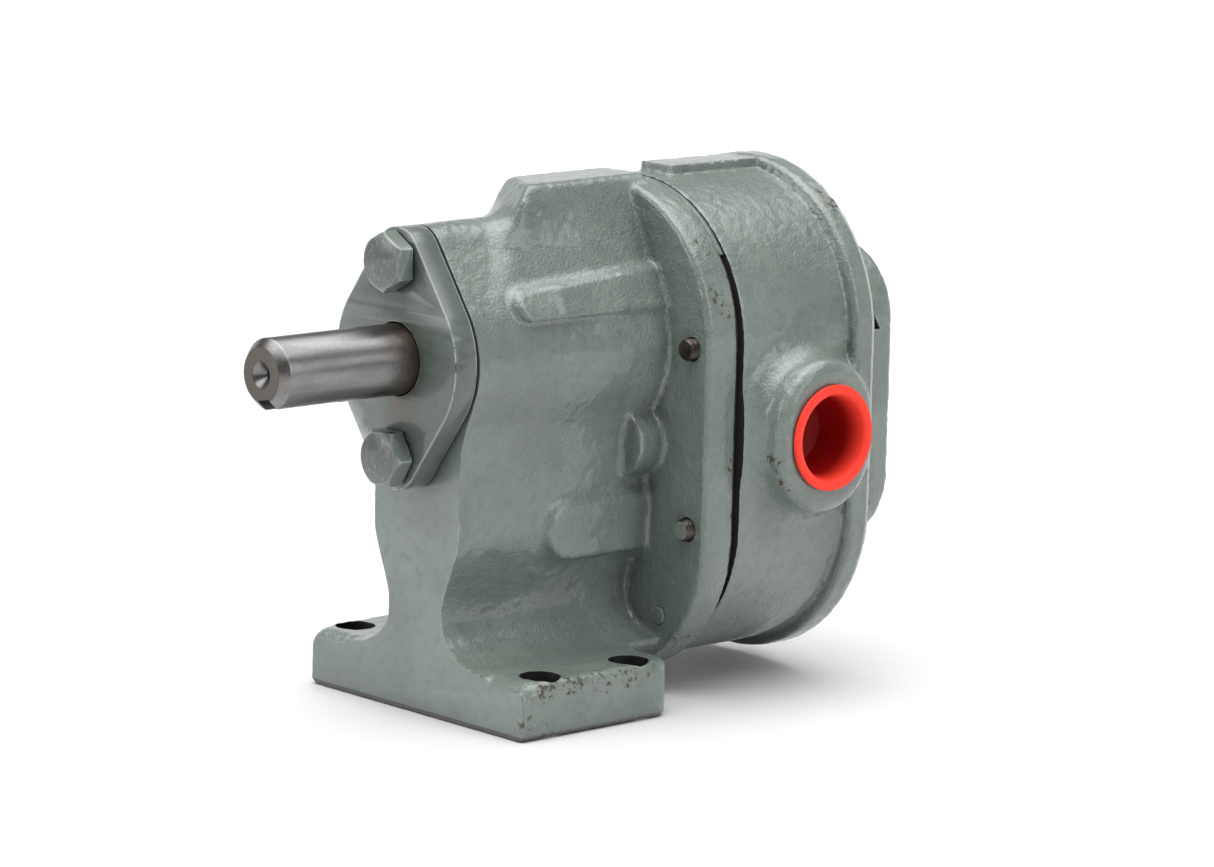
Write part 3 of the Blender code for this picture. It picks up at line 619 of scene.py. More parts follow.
def shaft_steel():
    """Ground steel with fine turning rings, oil-stained by the gland."""
    s = Shader("shaft_steel", Metallic=1.0)
    rings = s.noise(1.0, 3, 0.6, s.stretch(40, 4200, 40))
    smear = s.noise(1.0, 3, 0.5, s.stretch(240, 50, 240))
    tone = s.mix(s.ramp(smear, 0.35, 0.70), (0.235, 0.23, 0.228), (0.17, 0.168, 0.166))
    specks = s.math("MULTIPLY", s.ramp(s.noise(1500, 4, 0.6), 0.45, 0.75), 0.4)
    tone = s.mix(specks, tone, (0.10, 0.097, 0.094))
    depth = s.place_along("Y")
    ragged = s.math("ADD", depth, s.math("MULTIPLY", s.noise(260, 5, 0.7), 0.014))
    stain = s.ramp(ragged, (FRONT_Y - 13) * MM, (FRONT_Y - 1) * MM)
    tone = s.mix(s.math("MULTIPLY", stain, 0.85), tone, (0.075, 0.052, 0.036))
    end = s.ramp(depth, (FRONT_Y + SHAFT_END + 0.25) * MM, (FRONT_Y + SHAFT_END + 0.1) * MM)
    tone = s.mix(end, tone, (0.115, 0.105, 0.095))
    rough = s.blend(s.noise(500, 3), 0.24, 0.36)
    rough = s.math("ADD", rough, s.math("MULTIPLY", s.math("MAXIMUM", stain, end), 0.2))
    return s.finish(Base_Color=tone, Roughness=rough, Normal=s.bump(rings, 0.00003, 0.6))


def steel(name, tone, dark, roughness):
    """A metal with darker, rougher patches and softened edges."""
    s = Shader(name, Metallic=1.0)
    patches = s.ramp(s.noise(260, 4, 0.6), 0.35, 0.7)
    normal = s.bump(s.noise(900, 3), 0.00003, 1.0, s.soft_edges(0.0002))
    rough = s.blend(patches, roughness, roughness + 0.15)
    return s.finish(Base_Color=s.mix(patches, tone, dark), Roughness=rough, Normal=normal)


def plain(name, tone, other, roughness, bump, scale):
    """A non-metal with mottled colour and a fine skin."""
    s = Shader(name, Metallic=0.0)
    patches = s.noise(scale * 0.3, 3)
    normal = s.bump(s.noise(scale, 3), bump)
    rough = s.blend(patches, roughness - 0.05, roughness + 0.08)
    return s.finish(Base_Color=s.mix(patches, tone, other), Roughness=rough, Normal=normal)


def red_plastic():
    """Moulded red plastic, darkened to deep red down inside the cup as painted shade."""
    s = Shader("red_plastic", Metallic=0.0)
    across = s.math("ABSOLUTE", s.place_along("X"))
    # Painted shade: the red darkens with depth into the cup, away from the port face.
    outside = s.ramp(across, (PORT_FACE - 6) * MM, (PORT_FACE + 1.0) * MM)
    patches = s.noise(260, 3)
    tone = s.mix(outside, (0.24, 0.004, 0.003), s.mix(patches, (0.93, 0.060, 0.038), (0.86, 0.050, 0.032)))
    rough = s.blend(patches, 0.36, 0.46)
    normal = s.bump(s.noise(700, 3), 0.00002)
    return s.finish(Base_Color=tone, Roughness=rough, Specular_IOR_Level=0.10, Normal=normal)


CAST_PAINT = painted("cast_paint", 0.30, 0.00042, gloss=0.09)
FLAT_PAINT = painted("machined_paint", 0.36, 0.00005, 0.2)
PLATE_PAINT = plate_paint()
BOLT_PAINT = painted("bolt_paint", 0.33, 0.00006, 0.8, 0.8, 0.9)
BOLT_FACE_PAINT = bolt_face_paint()
JOINT_SHADE_FACE = joint_shade_face()
SHAFT_STEEL = shaft_steel()
GEAR_STEEL = steel("gear_steel", (0.52, 0.51, 0.50), (0.38, 0.37, 0.36), 0.25)
BLACK_STEEL = steel("black_steel", (0.055, 0.050, 0.048), (0.025, 0.023, 0.022), 0.40)
# bare bored iron, made near-black as painted shade down the bores
BORE_IRON_IN_SHADE = steel("bored_iron_in_shade", (0.050, 0.052, 0.048), (0.028, 0.030, 0.028), 0.55)
SCREW_STEEL = steel("screw_steel", (0.115, 0.100, 0.092), (0.040, 0.030, 0.026), 0.36)
TIP_PAINT = steel("tip_paint", (0.40, 0.42, 0.40), (0.30, 0.33, 0.30), 0.40)
BRONZE = steel("bronze", (0.60, 0.40, 0.17), (0.42, 0.27, 0.11), 0.35)
GASKET = plain("gasket_sheet", (0.014, 0.014, 0.013), (0.030, 0.029, 0.027), 0.8, 0.00004, 1500)
RUBBER = plain("seal_rubber", (0.012, 0.012, 0.012), (0.020, 0.020, 0.020), 0.55, 0.00002, 1200)
RED = red_plastic()


def dress(obj, material, body="housing", replaces=None):
    obj.data.materials.clear()
    obj.data.materials.append(material)
    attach(obj, body)
    if replaces:
        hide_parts(replaces)
    return obj


def dress_bores(obj, material, bores):
    """Gives a material to the walls of upright bores, each (x, y, radius) in metres."""
    mesh = obj.data
    mesh.materials.append(material)
    for face in mesh.polygons:
        if face.center.z > FOOT_HEIGHT * MM or abs(face.normal.z) > 0.5:
            continue
        if any(math.hypot(face.center.x - x, face.center.y - y) < radius for x, y, radius in bores):
            face.material_index = len(mesh.materials) - 1


def dress_ports(obj, material):
    """Gives a material to the walls of the two port bores."""
    mesh = obj.data
    mesh.materials.append(material)
    for face in mesh.polygons:
        x, y, z = (part / MM for part in face.center)
        inside = math.hypot(y - FRONT_Y - PORT_DEPTH, z - PORT_Z) < PORT_BORE + 0.1
        if inside and 11.0 < abs(x) < PORT_FACE - 0.05:
            face.material_index = len(mesh.materials) - 1


def dress_cut_faces(obj, material, planes):
    """Gives a second material to faces that lie on machined planes, each (axis, coordinate in metres)."""
    mesh = obj.data
    mesh.materials.append(material)
    centres = np.empty(len(mesh.polygons) * 3)
    normals = np.empty(len(mesh.polygons) * 3)
    mesh.polygons.foreach_get("center", centres)
    mesh.polygons.foreach_get("normal", normals)
    centres, normals = centres.reshape(-1, 3), normals.reshape(-1, 3)
    index = np.zeros(len(mesh.polygons), dtype=np.int32)
    mesh.polygons.foreach_get("material_index", index)
    for axis, place in planes:
        on_plane = (np.abs(centres[:, axis] - place) < 0.00002) & (np.abs(normals[:, axis]) > 0.999)
        index[on_plane] = len(mesh.materials) - 1
    mesh.polygons.foreach_set("material_index", index)


# ---- front housing ------------------------------------------------------------------------------
def column_side():
    """The right half of the column's front view, closed far to the left of the axis."""
    full, neck, reach = 17.3, 10.8, 29.0
    shoulder, waist, fillet_top = 50.5, 28.0, 26.5
    side = [(full, 92.0), (full, shoulder)]
    for i in range(1, 12):
        t = i / 12
        side.append((full - (full - neck) * (3 * t * t - 2 * t ** 3), shoulder - (shoulder - waist) * t))
    for i in range(15):
        a = math.radians(90 * i / 14)
        drop = fillet_top - FOOT_HEIGHT + 0.6
        side.append((neck + (reach - neck) * (1 - math.cos(a)), fillet_top - drop * math.sin(a)))
    return side + [(reach, 5.0), (-40.0, 5.0), (-40.0, 92.0)]


def sloped_ridge(m, side):
    """The raised part that runs forward from the flange over the nose: its flat outline and its body."""
    depth, z = m.depth, m.z
    outline = [(3.7, 145.7), (13.4, 120.4), (20.2, 106.0), (22.2, 96.7), (21.9, 92.8), (20.9, 89.1)]
    outline += [(19.2, 85.6), (17.0, 82.4), (14.2, 79.8), (-40.0, 79.8), (-40.0, 145.7)]
    outline_field = trim(polygon(side, z, outline) - 3.0, z - 0.010 * (depth - 40) - 141.2, 1.8)
    taper = 0.20 * np.clip(44 - depth, 0, 20) * np.clip((137 - z) / 12, 0, 1)
    front = 0.832 * (depth - 27.4 + 0.45 * m.x) - 0.555 * (z - 132.1)
    front_edge = 1.8 + 0.40 * np.clip(137 - z, 0, 14)
    body = trim(outline_field + taper, -front, front_edge)
    return outline_field, extrude(body, depth, -20, 72)


def tongue(m, side, nose_outline, ridge_outline):
    """A rounded bar that hugs the side of the nose and the ridge."""
    depth, z = m.depth, m.z
    hug = fuse(nose_outline, ridge_outline + 2.0 * np.clip((29 - depth) / 8, 0, 1), 3.0) - 3.2
    profile = capsule(depth, z, (18.5, 111.4), (90.0, 113.9), 0.0) - 4.0 - 0.035 * np.maximum(depth - 19, 0)
    return trim(trim(profile, hug, 1.6), 5 - side)


def foot_block(m, side):
    depth, z = m.depth, m.z
    corner = np.where(depth > 27, 7.0, np.where(m.x < 0, 4.5, 1.6))
    plan = rectangle(side, depth, 0, (FOOT_DEPTH - 1) / 2, FOOT_HALF, (FOOT_DEPTH + 1) / 2, corner)
    top_edge = 1.7 + 0.7 * np.clip(m.x / 10, 0, 1) + 3.0 * np.clip((9 - depth) / 6, 0, 1)
    return trim(trim(plan, z - FOOT_HEIGHT, top_edge), -z - 0.3, 2.0)


def housing_shape(m):
    """The front housing's casting, before machining."""
    side, depth, z = np.abs(m.x), m.depth, m.z
    draft = 0.015 * depth
    nose_outline = lobes(side, z - SHAFT_Z, NOSE_RADIUS, NOSE_END_RADIUS, GLAND_BOLT_REACH) - draft
    column = extrude(polygon(side, z, column_side()) - draft, depth, -6, 72)
    body = fuse(extrude(nose_outline, depth, -6, 72), column, 6.0)

    ridge_outline, ridge = sloped_ridge(m, side)
    body = fuse(body, ridge, 5.0)
    body = fuse(body, tongue(m, side, nose_outline, ridge_outline), 1.8)
    pad = extrude(capsule(depth, z, (38.4, 47.9), (90.0, 47.9), 7.8), side, 0.0, 19.6, 0, 1.2)
    body = fuse(body, pad, 3.0)
    half_moon = extrude(disc(side, z, 16.8, 69.9, 9.0), depth, 57.2, 72, 0.6)
    body = fuse(body, half_moon, 2.0)

    track = capsule(side, z, (0, FLANGE_BOTTOM), (0, FLANGE_TOP), 0.0)
    behind_foot = track - FLANGE_RADIUS + 2.5
    behind_foot = behind_foot - 2 * np.maximum(FOOT_DEPTH - depth, 0) - 3 * np.maximum(z - 36, 0)
    body = trim(body, behind_foot, 2.0)
    body = fuse(body, foot_block(m, side), 1.5)
    parting = np.maximum(PARTING_DEPTH - depth, 0) * 0.05 + np.maximum(depth - PARTING_DEPTH, 0) * 0.05
    back_edge = 0.5 - 0.3 * np.clip((z - 124) / 5, 0, 1)
    flange = track - FLANGE_RADIUS + parting
    flange = extrude(flange, depth, FLANGE_FRONT, FLANGE_BACK + 0.3, 1.4, back_edge)
    return fuse(body, flange, 1.3)


def foot_holes():
    """The foot's bolt holes, each an (x, y) in millimetres, from the record's openings."""
    openings = frame["record"]["physics"]["openings"]
    boxes = [hole["box_m"] for hole in openings if hole["name"].startswith("foot_hole")]
    return [tuple(sum(corner[axis] for corner in box) / 2 / MM for axis in (0, 1)) for box in boxes]


def housing_cuts():
    """What is machined away from the front housing."""
    cuts = [
        block((-FAR, -FAR, -FAR), (FAR, 0.0, FAR)),
        block((-FAR, FLANGE_BACK, -FAR), (FAR, FAR, FAR)),
        block((-FAR, -FAR, -FAR), (FAR, FAR, 0.0)),
        rod(SEAL_BORE, (0, -1, SHAFT_Z), (0, 12, SHAFT_Z)),
        rod(SHAFT_RADIUS + 0.9, (0, -1, SHAFT_Z), (0, 60, SHAFT_Z)),
        rod(BUSH_BORE, (0, 40, SHAFT_Z), (0, 80, SHAFT_Z)),
        rod(BUSH_BORE, (0, 44, IDLER_Z), (0, 80, IDLER_Z)),
    ]
    for x, y in foot_holes():
        cuts.append(rod(FOOT_HOLE_RADIUS, (x, y - FRONT_Y, -2), (x, y - FRONT_Y, 30)))
    for reach in (-GLAND_BOLT_REACH, GLAND_BOLT_REACH):
        cuts.append(rod(BOLT_BORE, (0, -1, SHAFT_Z + reach), (0, 17, SHAFT_Z + reach)))
    cuts += bores_at(SCREWS[:4], SCREW_BORE, FLANGE_FRONT - 14, 80)
    cuts += bores_at(SCREWS[4:5], SCREW_BORE, FLANGE_FRONT + 2, 80)
    cuts += bores_at(SCREWS[5:], SCREW_BORE, FLANGE_FRONT - 14, 80)
    return cuts + bores_at(DOWELS, DOWEL_BORE, 60, 80)


def front_housing():
    m = Mould((-FOOT_HALF - 3, -4, -3), (FOOT_HALF + 3, FLANGE_BACK + 3, 147), CELL)
    obj = m.cast("housing_casting", m.roughen(housing_shape(m), 11))
    cut(obj, *housing_cuts())
    dress(obj, CAST_PAINT, "housing", "front_housing")
    dress_cut_faces(obj, FLAT_PAINT, [(1, FRONT_Y * MM)])
    # the flange's back face, inside the joint, gets the painted joint shade
    dress_cut_faces(obj, JOINT_SHADE_FACE, [(1, (FRONT_Y + FLANGE_BACK) * MM)])
    walls = [(x * MM, y * MM, (FOOT_HOLE_RADIUS + 0.02) * MM) for x, y in foot_holes()]
    # the foot holes' walls get the near-black iron that stands for their shade
    dress_bores(obj, BORE_IRON_IN_SHADE, walls)
    crisp(obj)


# ---- gear case ----------------------------------------------------------------------------------
def case_shape(m):
    """The gear case's casting, before machining."""
    side, depth, z = np.abs(m.x), m.depth, m.z
    track = capsule(side, z, (0, IDLER_Z), (0, SHAFT_Z), 0.0)
    front_edge = 0.5 - 0.3 * np.clip((z - 124) / 5, 0, 1)
    drum = extrude(track - DRUM_RADIUS, depth, CASE_FRONT - 0.3, 140, front_edge)
    rim = extrude(track - RIM_RADIUS + 0.35, depth, CASE_BACK - 7.3, 140, 2.0)
    body = fuse(drum, rim, 0.3)
    pad = extrude(rectangle(side, z, 0, 130, 6.2, 12.5, 0.5), depth, 84.0, 121.7, 0.6, 0.6)
    body = fuse(body, pad, 0.8)
    boss = capsule(depth, z, (PORT_DEPTH, PORT_Z - 3.5), (PORT_DEPTH, PORT_Z + 3.5), 17.4)
    boss = extrude(boss - 0.12 * (PORT_FACE - side), side, 10, 90)
    boss = trim(boss, side - PORT_FACE - 0.01, 3.2)
    return fuse(body, boss, 6.5)


def case_cuts():
    """What is machined away from the gear case."""
    cuts = [
        block((-FAR, -FAR, -FAR), (FAR, CASE_FRONT, FAR)),
        block((-FAR, CASE_BACK, -FAR), (FAR, FAR, FAR)),
        rod(GEAR_POCKET, (0, 60, SHAFT_Z), (0, CASE_BACK - 8, SHAFT_Z), 128),
        rod(GEAR_POCKET, (0, 60, IDLER_Z), (0, CASE_BACK - 8, IDLER_Z), 128),
        rod(BUSH_BORE, (0, 100, SHAFT_Z), (0, 130, SHAFT_Z)),
        rod(BUSH_BORE, (0, 100, IDLER_Z), (0, 130, IDLER_Z)),
    ]
    for end in (-1, 1):
        near, beyond = sorted((end * PORT_FACE, end * FAR))
        cuts.append(block((near, -FAR, -FAR), (beyond, FAR, FAR)))
        cuts.append(rod(PORT_BORE, (end * 30, PORT_DEPTH, PORT_Z), (end * 60, PORT_DEPTH, PORT_Z), 96))
        cuts.append(rod(PORT_THROAT, (end * 12, PORT_DEPTH, PORT_Z), (end * 40, PORT_DEPTH, PORT_Z), 48))
    cuts += bores_at(SCREWS, SCREW_BORE, 70, 130)
    return cuts + bores_at(DOWELS, DOWEL_BORE, 70, CASE_FRONT + 9)


def gear_case():
    low = (-PORT_FACE - 3, CASE_FRONT - 3, IDLER_Z - RIM_RADIUS - 3)
    high = (PORT_FACE + 3, CASE_BACK + 3, SHAFT_Z + RIM_RADIUS + 3)
    m = Mould(low, high, CELL)
    obj = m.cast("case_casting", m.roughen(case_shape(m), 23))
    cut(obj, *case_cuts())
    dress(obj, CAST_PAINT, "housing", "gear_case")
    # the case's front face, inside the joint, gets the painted joint shade
    dress_cut_faces(obj, JOINT_SHADE_FACE, [(1, (FRONT_Y + CASE_FRONT) * MM)])
    # the port bores' walls get the same near-black iron that stands for their shade
    dress_ports(obj, BORE_IRON_IN_SHADE)
    crisp(obj)


def rear_cover():
    m = Mould((-49, COVER_FRONT - 3, 30), (49, COVER_BACK + 3, 128), CELL)
    side, depth, z = np.abs(m.x), m.depth, m.z
    low, high = span("rear_cover", 2)
    half = span("rear_cover", 0)[1]
    flat = rectangle(side, z, 0, (low + high) / 2, half, (high - low) / 2, 21.0)
    body = extrude(flat, depth, 100, COVER_BACK - 0.15, 0, 1.3)
    obj = m.cast("cover_casting", m.roughen(body, 31, 0.06))
    cuts = [block((-FAR, -FAR, -FAR), (FAR, COVER_FRONT, FAR))]
    for height in (SHAFT_Z, IDLER_Z):
        cuts.append(rod(BUSH_BORE, (0, 120, height), (0, CASE_BACK + 4.7, height)))
    for name in SCREWS[:4]:
        x, _, height = centre(name)
        cuts.append(rod(SCREW_BORE, (x, 120, height), (x, 136, height), 32))
        cuts.append(rod(HEAD_RADIUS + 0.2, (x, COVER_BACK - HEAD_SUNK, height), (x, 136, height), 48))
    for height in (98.5, 48.8):
        notch = [(COVER_FRONT - 1, height), (COVER_BACK - 5.2, height), (COVER_FRONT - 1, height + 6.2)]
        cuts.append(prism(notch, half - 2.6, half + 5))
        cuts.append(prism(notch, -half - 5, 2.6 - half))
    cut(obj, *cuts)
    dress(obj, CAST_PAINT, "housing", "rear_cover")
    crisp(obj)


# ---- gland --------------------------------------------------------------------------------------
def gland():
    holes = [circle(0, SHAFT_Z + side * GLAND_BOLT_REACH, 5.1) for side in (-1, 1)]
    bore = circle(0, SHAFT_Z, SHAFT_RADIUS + 0.4, 96)
    outline = lobed_outline(NOSE_RADIUS, NOSE_END_RADIUS)
    plate = outline_plate("gland_plate_face", [outline, bore] + holes, PLATE_FRONT, PLATE_BACK)
    bevel(plate, 0.5, 3, 50)
    crisp(dress(plate, PLATE_PAINT, "housing", "gland_plate"))
    inner = circle(0, SHAFT_Z, 16.4, 64)
    outline = lobed_outline(NOSE_RADIUS - 0.6, NOSE_END_RADIUS - 0.6)
    gasket = outline_plate("gland_gasket_sheet", [outline, inner] + holes, *depths("gland_gasket"))
    dress(gasket, GASKET, "housing", "gland_gasket")
    for name, spin in (("gland_bolt_top", 0), ("gland_bolt_bottom", 30)):
        bolt_head(name, spin)


def bolt_head(name, spin):
    """A hex head with its turned top chamfer, washer face and shank."""
    x, _, height = centre(name)
    front, back = depths(name)
    flats = BOLT_FLATS / 2
    head_back = PLATE_FRONT - 0.2
    corner = flats / math.cos(math.radians(30))
    head = rod(corner, (x, front, height), (x, head_back - 0.5, height), 6, name=name + "_hex")
    head.data.transform(Matrix.Translation(-at(x, front, height)))
    head.data.transform(Matrix.Rotation(math.radians(spin), 4, "Y"))
    head.data.transform(Matrix.Translation(at(x, front, height)))
    reach = corner + 2
    face = flats - 0.25
    dome = [(0, 9.0), (reach, 9.0), (reach, (reach - face) * math.tan(math.radians(42))), (face, 0), (0, 0)]
    cut(head, lathe("cutter", dome, (x, front, height), (0, 1, 0)), operation="INTERSECT")
    washer = rod(flats - 0.3, (x, head_back - 0.6, height), (x, head_back, height), 64)
    shank = rod(4.7, (x, head_back - 2, height), (x, back, height), 48)
    cut(head, washer, shank, operation="UNION")
    bevel(head, 0.14, 2, 20)
    dress(head, BOLT_PAINT, "housing", name)
    dress_cut_faces(head, BOLT_FACE_PAINT, [(1, (FRONT_Y + front) * MM)])
    crisp(head, 24)


# ---- shafts -------------------------------------------------------------------------------------
def drive_shaft():
    r = SHAFT_RADIUS
    total = SHAFT_TAIL - SHAFT_END
    profile = [(0, total), (r - 1, total), (r, total - 1), (r, 2.6), (r - 0.06, 2.35), (r - 0.2, 2.15)]
    profile += [(r - 2.2, 0.15), (r - 2.35, 0.04), (r - 2.5, 0)]
    profile += [(3.7, 0), (3.4, 0.25), (1.2, 3.0), (1.2, 4.4), (0, 5.0)]
    shaft = lathe("drive_shaft_bar", profile, (0, SHAFT_END, SHAFT_Z), (0, 1, 0), 128)
    half, floor = KEYWAY_WIDTH / 2, SHAFT_Z - r + KEYWAY_DEPTH
    keyway = block((-half, SHAFT_END - 1, SHAFT_Z - r - 1), (half, SHAFT_END + KEYWAY_LENGTH, floor))
    tilt = Matrix.Rotation(math.radians(KEYWAY_TILT), 4, "Y")
    pivot = Matrix.Translation(at(0, 0, SHAFT_Z))
    keyway.data.transform(pivot @ tilt @ pivot.inverted())
    cut(shaft, keyway)
    crisp(dress(shaft, SHAFT_STEEL, "drive", "drive_shaft"), 30)


# ---- screws, dowels, gaskets, plugs -------------------------------------------------------------
def thread_surface(name, radius, pitch, length, lead_in):
    """A threaded bar from z = 0 (its chamfered end) up, as a mesh."""
    around, rows_a_turn = 48, 10
    rows = int(length / pitch * rows_a_turn)
    depth = 0.61 * pitch
    vertices = []
    for row in range(rows + 1):
        z = length * row / rows
        for i in range(around):
            phase = (z / pitch - i / around) % 1.0
            r = radius - depth * abs(2 * phase - 1)
            r = min(r, radius - lead_in + z)
            a = 2 * math.pi * i / around
            vertices.append((r * MM * math.cos(a), r * MM * math.sin(a), z * MM))
    faces = []
    for row in range(rows):
        for i in range(around):
            j = (i + 1) % around
            low, high = row * around, (row + 1) * around
            faces.append((low + i, low + j, high + j, high + i))
    faces.append(tuple(range(around))[::-1])
    faces.append(tuple(rows * around + i for i in range(around)))
    mesh = bpy.data.meshes.new(name)
    mesh.from_pydata(vertices, [], faces)
    return mesh


def case_screw(name):
    """A socket cap screw with a cut thread on its leading end."""
    x, _, height = centre(name)
    start, back = depths(name)
    head_front = back - HEAD_HEIGHT
    mesh = thread_surface(name + "_thread", SCREW_RADIUS, THREAD_PITCH, 16.0, 0.6)
    screw = add(name + "_bar", mesh)
    screw.data.transform(Matrix.Rotation(math.radians(-90), 4, "X"))
    screw.data.transform(Matrix.Translation(at(x, start, height)))
    r = HEAD_RADIUS
    profile = [(0, 3.0), (2.4, 3.4), (2.4, 6.3), (2.7, 6.3), (r - 0.45, 6.3), (r - 0.15, 6.15)]
    profile += [(r, 5.8), (r, 0.2), (r - 0.15, 0), (0, 0)]
    head = lathe("cutter", profile, (x, head_front, height), (0, 1, 0))
    shank = rod(SCREW_RADIUS - 0.05, (x, start + 15, height), (x, head_front + 1, height), 48)
    socket = rod(2.75, (x, head_front + 3.1, height), (x, back + 1, height), 6)
    cut(screw, head, shank, operation="UNION")
    cut(screw, socket)
    dress(screw, SCREW_STEEL, "housing", name)
    if name == PAINTED_SCREW:
        dress_cut_faces(screw, TIP_PAINT, [(1, (FRONT_Y + start) * MM)])
    crisp(screw, 35)


def dowel(name):
    x, _, height = centre(name)
    front, back = depths(name)
    length = back - front
    profile = [(0, length), (2.2, length), (2.5, length - 0.4), (2.5, 0.5), (2.4, 0.15), (2.1, 0), (0, 0)]
    pin = lathe(name + "_pin", profile, (x, front, height), (0, 1, 0), 48)
    crisp(dress(pin, BOLT_PAINT, "housing", name))


def joint_gasket():
    chamber = racetrack_outline(GEAR_POCKET + 0.6, SHAFT_Z, IDLER_Z)
    holes = []
    for names, radius in ((SCREWS, 3.6), (DOWELS, 3.0)):
        for name in names:
            x, _, height = centre(name)
            holes.append(circle(x, height, radius, 24))
    low, high = span("front_joint_gasket", 2)
    radius = span("front_joint_gasket", 0)[1]
    outline = racetrack_outline(radius, high - radius, low + radius)
    loops = [outline, chamber] + holes
    sheet = outline_plate("front_joint_gasket_sheet", loops, *depths("front_joint_gasket"))
    dress(sheet, GASKET, "housing", "front_joint_gasket")


def joint_bead():
    """Paint and sealant that bridge the joint behind the flange along its top."""
    outer = arc(0, FLANGE_TOP, FLANGE_RADIUS - 0.5, 35, 145, 72)
    inner = arc(0, FLANGE_TOP, FLANGE_RADIUS - 2.0, 145, 35, 72)
    bead = outline_plate("joint_bead", [outer + inner], FLANGE_BACK + 0.05, CASE_FRONT - 0.05)
    crisp(dress(bead, CAST_PAINT))


def port_plug(name, end, body):
    """A moulded cup with a thin flange, pushed into the port."""
    back = 15.0
    flange = (span(name, 2)[1] - span(name, 2)[0]) / 2
    profile = [(0, -back + 1.1), (8.9, -back + 1.1), (9.3, -back + 1.5), (11.2, -2.0), (11.6, 0.2)]
    profile += [(11.9, 1.1), (12.4, 1.5), (flange - 0.5, 1.5), (flange - 0.12, 1.35), (flange, 0.9)]
    profile += [(flange - 0.1, 0.4), (flange - 0.4, 0.3), (12.6, 0.3), (11.9, -back + 0.9)]
    profile += [(11.1, -back + 0.1), (10.6, -back), (0, -back)]
    plug = lathe(name + "_cup", profile, (end * PORT_FACE, PORT_DEPTH, PORT_Z), (end, 0, 0), 128)
    crisp(dress(plug, RED, body, name), 50)


def give_look(node, look):
    """Puts a material in every slot of a CAD node, or in its first where it has none."""
    for slot in node.material_slots:
        slot.material = look
    if not node.material_slots:
        node.data.materials.append(look)


def carried_nodes():
    """CAD nodes that keep their shape get a better material."""
    looks = (
        (GEAR_STEEL, ("drive_gear", "idler_gear", "idler_shaft", "shaft_seal_spring")),
        (BLACK_STEEL, ("drive_gear_key", "idler_gear_key", "shaft_seal_case")),
        (BLACK_STEEL, ("drive_gear_ring_front", "drive_gear_ring_rear")),
        (BRONZE, ("drive_bush_front", "drive_bush_rear", "idler_bush_front", "idler_bush_rear")),
        (RUBBER, ("shaft_seal_lip",)),
        (GASKET, ("rear_joint_gasket",)),
    )
    for look, names in looks:
        for name in names:
            give_look(frame["nodes"][name], look)


# ---- studio -------------------------------------------------------------------------------------
def studio():
    mesh = bpy.data.meshes.new("floor")
    cage = bmesh.new()
    bmesh.ops.create_grid(cage, x_segments=1, y_segments=1, size=6.0)
    cage.to_mesh(mesh)
    cage.free()
    floor = add("floor", mesh)
    floor.location.z = -0.0003
    s = Shader("floor_white")
    tone = s.mix(s.noise(3, 2), (0.655, 0.655, 0.655), (0.67, 0.67, 0.67))
    floor.data.materials.append(s.finish(Base_Color=tone, Roughness=0.5))

    sky()
    sun = bpy.data.lights.new("overhead_softbox", "SUN")
    sun.angle = math.radians(34)
    sun.energy = 0.5
    lamp = bpy.data.objects.new("overhead_softbox", sun)
    lamp.rotation_euler = Vector((0.02, -0.12, 0.99)).to_track_quat("Z", "Y").to_euler()
    bpy.context.scene.collection.objects.link(lamp)


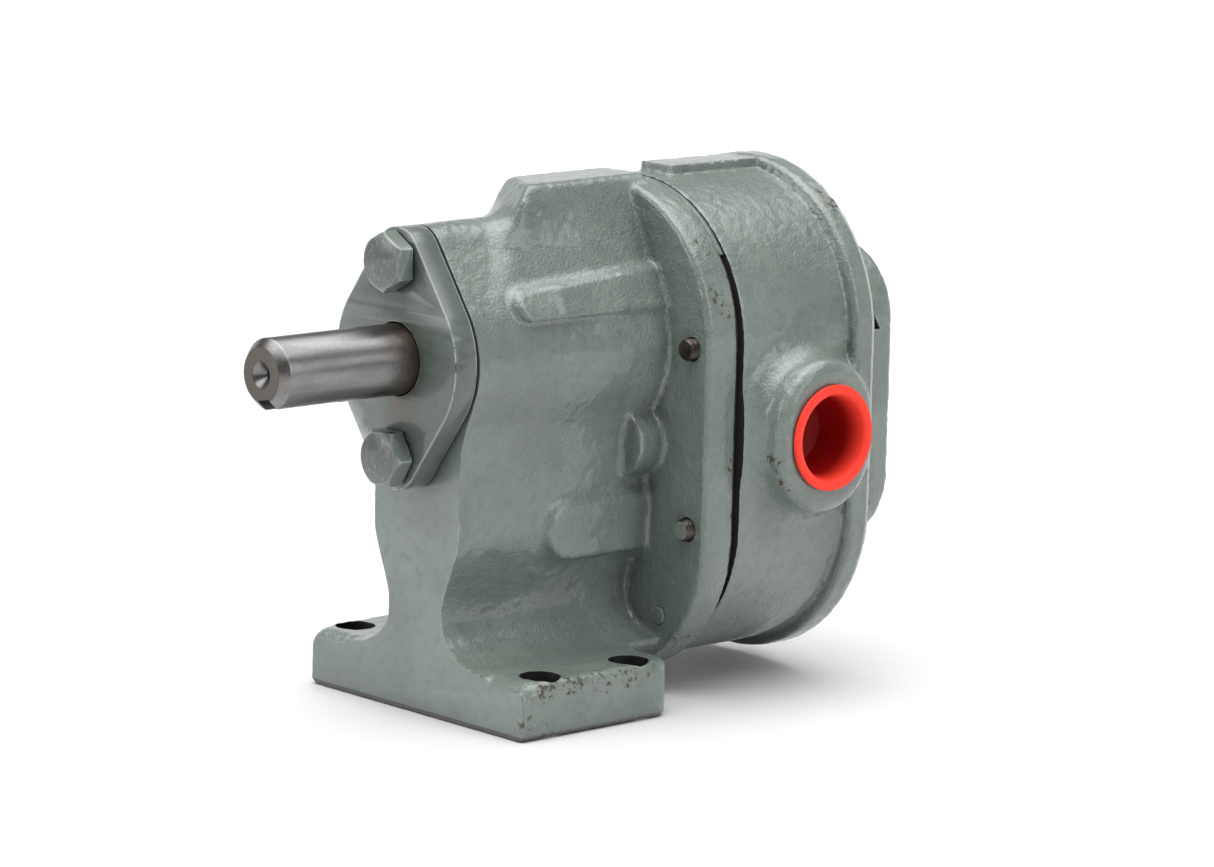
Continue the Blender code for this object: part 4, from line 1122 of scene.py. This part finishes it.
def sky():
    """A white studio: bright overhead, a white sweep behind the pump and a darker room in front of it."""
    world = bpy.data.worlds.new("studio")
    bpy.context.scene.world = world
    world.use_nodes = True
    tree = world.node_tree

    def ramp(value, low, high, floor, top):
        made = tree.nodes.new("ShaderNodeMapRange")
        made.interpolation_type = "SMOOTHSTEP"
        tree.links.new(value, made.inputs["Value"])
        for socket, number in zip(list(made.inputs)[1:5], (low, high, floor, top)):
            socket.default_value = number
        return made.outputs["Result"]

    def join(operation, a, b):
        made = tree.nodes.new("ShaderNodeMath")
        made.operation = operation
        tree.links.new(a, made.inputs[0])
        tree.links.new(b, made.inputs[1])
        return made.outputs["Value"]

    direction = tree.nodes.new("ShaderNodeTexCoord").outputs["Generated"]
    height = tree.nodes.new("ShaderNodeSeparateXYZ")
    tree.links.new(direction, height.inputs["Vector"])

    def toward(*aim):
        made = tree.nodes.new("ShaderNodeVectorMath")
        made.operation = "DOT_PRODUCT"
        tree.links.new(direction, made.inputs[0])
        made.inputs[1].default_value = Vector(aim).normalized()
        return made.outputs["Value"]

    ceiling = ramp(height.outputs["Z"], 0.62, 0.90, 0.17, 3.60)
    sweep = ramp(height.outputs["Z"], 0.45, 0.22, 0.0, 1.0)
    side = ramp(toward(-0.73, 0.68, 0.0), -0.1, 0.4, 0.03, 0.72)
    left_panel = ramp(toward(-0.40, -0.90, 0.30), 0.93, 0.975, 0.0, 3.5)
    right_panel = ramp(toward(0.93, 0.20, 0.38), 0.935, 0.975, 0.0, 2.4)
    light = join("ADD", ceiling, join("MULTIPLY", sweep, side))
    light = join("ADD", light, join("ADD", left_panel, right_panel))
    background = tree.nodes["Background"]
    background.inputs["Color"].default_value = (1.0, 1.0, 1.0, 1.0)
    tree.links.new(light, background.inputs["Strength"])


def camera():
    """Looks from the drive end's right, a little above."""
    right = Vector((0.6750, 0.7374, 0.0239))
    up = Vector((-0.1475, 0.1032, 0.9837))
    back = right.cross(up).normalized()
    up = back.cross(right).normalized()
    data = bpy.data.cameras.new("camera")
    data.sensor_width = 36.0
    data.lens = 148.3
    data.clip_end = 50.0
    obj = bpy.data.objects.new("camera", data)
    turn = Matrix((right, up, back)).transposed().to_4x4()
    obj.matrix_world = Matrix.Translation(at(994.9, -850.3, 314.2)) @ turn
    bpy.context.scene.collection.objects.link(obj)
    bpy.context.scene.camera = obj
    bpy.context.scene.view_settings.view_transform = "Standard"


front_housing()
gear_case()
rear_cover()
gland()
drive_shaft()
for screw_name in SCREWS:
    case_screw(screw_name)
for dowel_name in DOWELS:
    dowel(dowel_name)
joint_gasket()
joint_bead()
port_plug("port_plug_right", 1, "plug_right")
port_plug("port_plug_left", -1, "plug_left")
carried_nodes()
studio()
camera()
